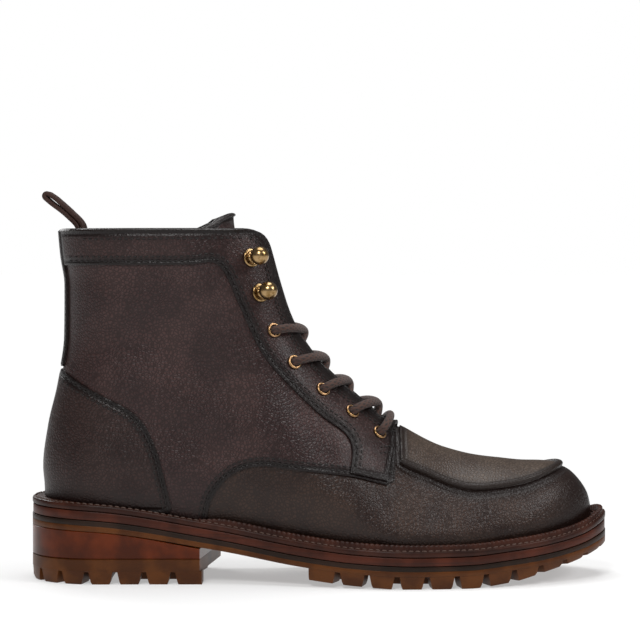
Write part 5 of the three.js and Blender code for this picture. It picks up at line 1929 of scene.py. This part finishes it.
@dataclass
class Studio:
    """Pale floor, bright even surround and soft lamps."""

    surround_light: float = 0.14
    lens_mm: float = 127.6
    tilt: float = 1.6
    eye: tuple[float, float, float] = (0, -1.2, 0.169)
    aim: tuple[float, float, float] = (0.0, 0.0, 0.08)
    lamps: tuple[tuple[str, tuple[float, float, float], float, float], ...] = (
        ("key", (-0.2, -1.0, 0.95), 0.45, 9), ("front", (0.95, -0.45, 0.8), 0.45, 6),
        ("top", (0.05, 0.15, 1.3), 0.8, 9), ("rim", (-0.6, 0.9, 0.7), 0.6, 5))

    @staticmethod
    def paper() -> bpy.types.Material:
        """White paper that catches the shadow and turns into the bright surround further out."""
        n = Nodes("floor paper")
        away = n.add("ShaderNodeVectorMath", {"operation": "LENGTH"}, {0: n.place()}).outputs["Value"]
        far = n.range(away, 0.2, 0.42, 0.4, 1.0)
        n.put(n.shader.inputs["Emission Color"], (1.0, 1.0, 1.0, 1.0))
        n.put(n.shader.inputs["Emission Strength"], far)
        tone = n.blend(far, linear("f6f6f6"), (0.0, 0.0, 0.0, 1.0))
        return n.finish(base_color=tone, roughness=0.9, ior=1.2)

    def build(self) -> None:
        """Build the floor, the surround, the lamps and the camera."""
        self.floor()
        self.surround()
        self.light()
        self.camera()
        bpy.context.scene.view_settings.view_transform = "Standard"

    def floor(self) -> None:
        """Build the floor."""
        bpy.ops.mesh.primitive_plane_add(size=40)
        floor = bpy.context.object
        floor.name = "floor"
        floor.data.materials.append(self.paper())

    def surround(self) -> None:
        """Build the surround, white to the camera and dim to the boot."""
        world = bpy.data.worlds.new("surround")
        world.use_nodes = True
        tree = world.node_tree
        background = tree.nodes["Background"]
        path = tree.nodes.new("ShaderNodeLightPath")
        share = tree.nodes.new("ShaderNodeMapRange")
        share.inputs[3].default_value, share.inputs[4].default_value = self.surround_light, 1.0
        tree.links.new(path.outputs["Is Camera Ray"], share.inputs[0])
        tree.links.new(share.outputs[0], background.inputs["Strength"])
        background.inputs["Color"].default_value = (1, 1, 1, 1)
        bpy.context.scene.world = world

    def light(self) -> None:
        """Build the lamps, all aimed at the boot."""
        for name, place, size, power in self.lamps:
            lamp = bpy.data.lights.new(name, "AREA")
            lamp.energy, lamp.size, lamp.shape = power, size, "DISK"
            obj = bpy.data.objects.new(name, lamp)
            obj.location = place
            obj.rotation_euler = (Vector(self.aim) - Vector(place)).to_track_quat("-Z", "Y").to_euler()
            bpy.context.scene.collection.objects.link(obj)

    def camera(self) -> None:
        """Build the camera."""
        scene = bpy.context.scene
        lens = bpy.data.cameras.new("camera")
        lens.lens, lens.sensor_width = self.lens_mm, 36
        camera = bpy.data.objects.new("camera", lens)
        camera.location = self.eye
        camera.rotation_euler = (math.radians(90 - self.tilt), 0, 0)
        scene.collection.objects.link(camera)
        scene.camera = camera


def main() -> None:
    """Build every piece in order."""
    logging.basicConfig(level=logging.INFO, format="%(name)s %(message)s")
    SolePart(FORM).build()
    skin = Skin(FORM)
    UpperPart(FORM, skin).build()
    TonguePart(FORM).build()
    PullLoopPart(FORM).build()
    Metalwork(FORM).build()
    LacePart(FORM).build()
    Studio().build()


if __name__ == "__main__":
    main()
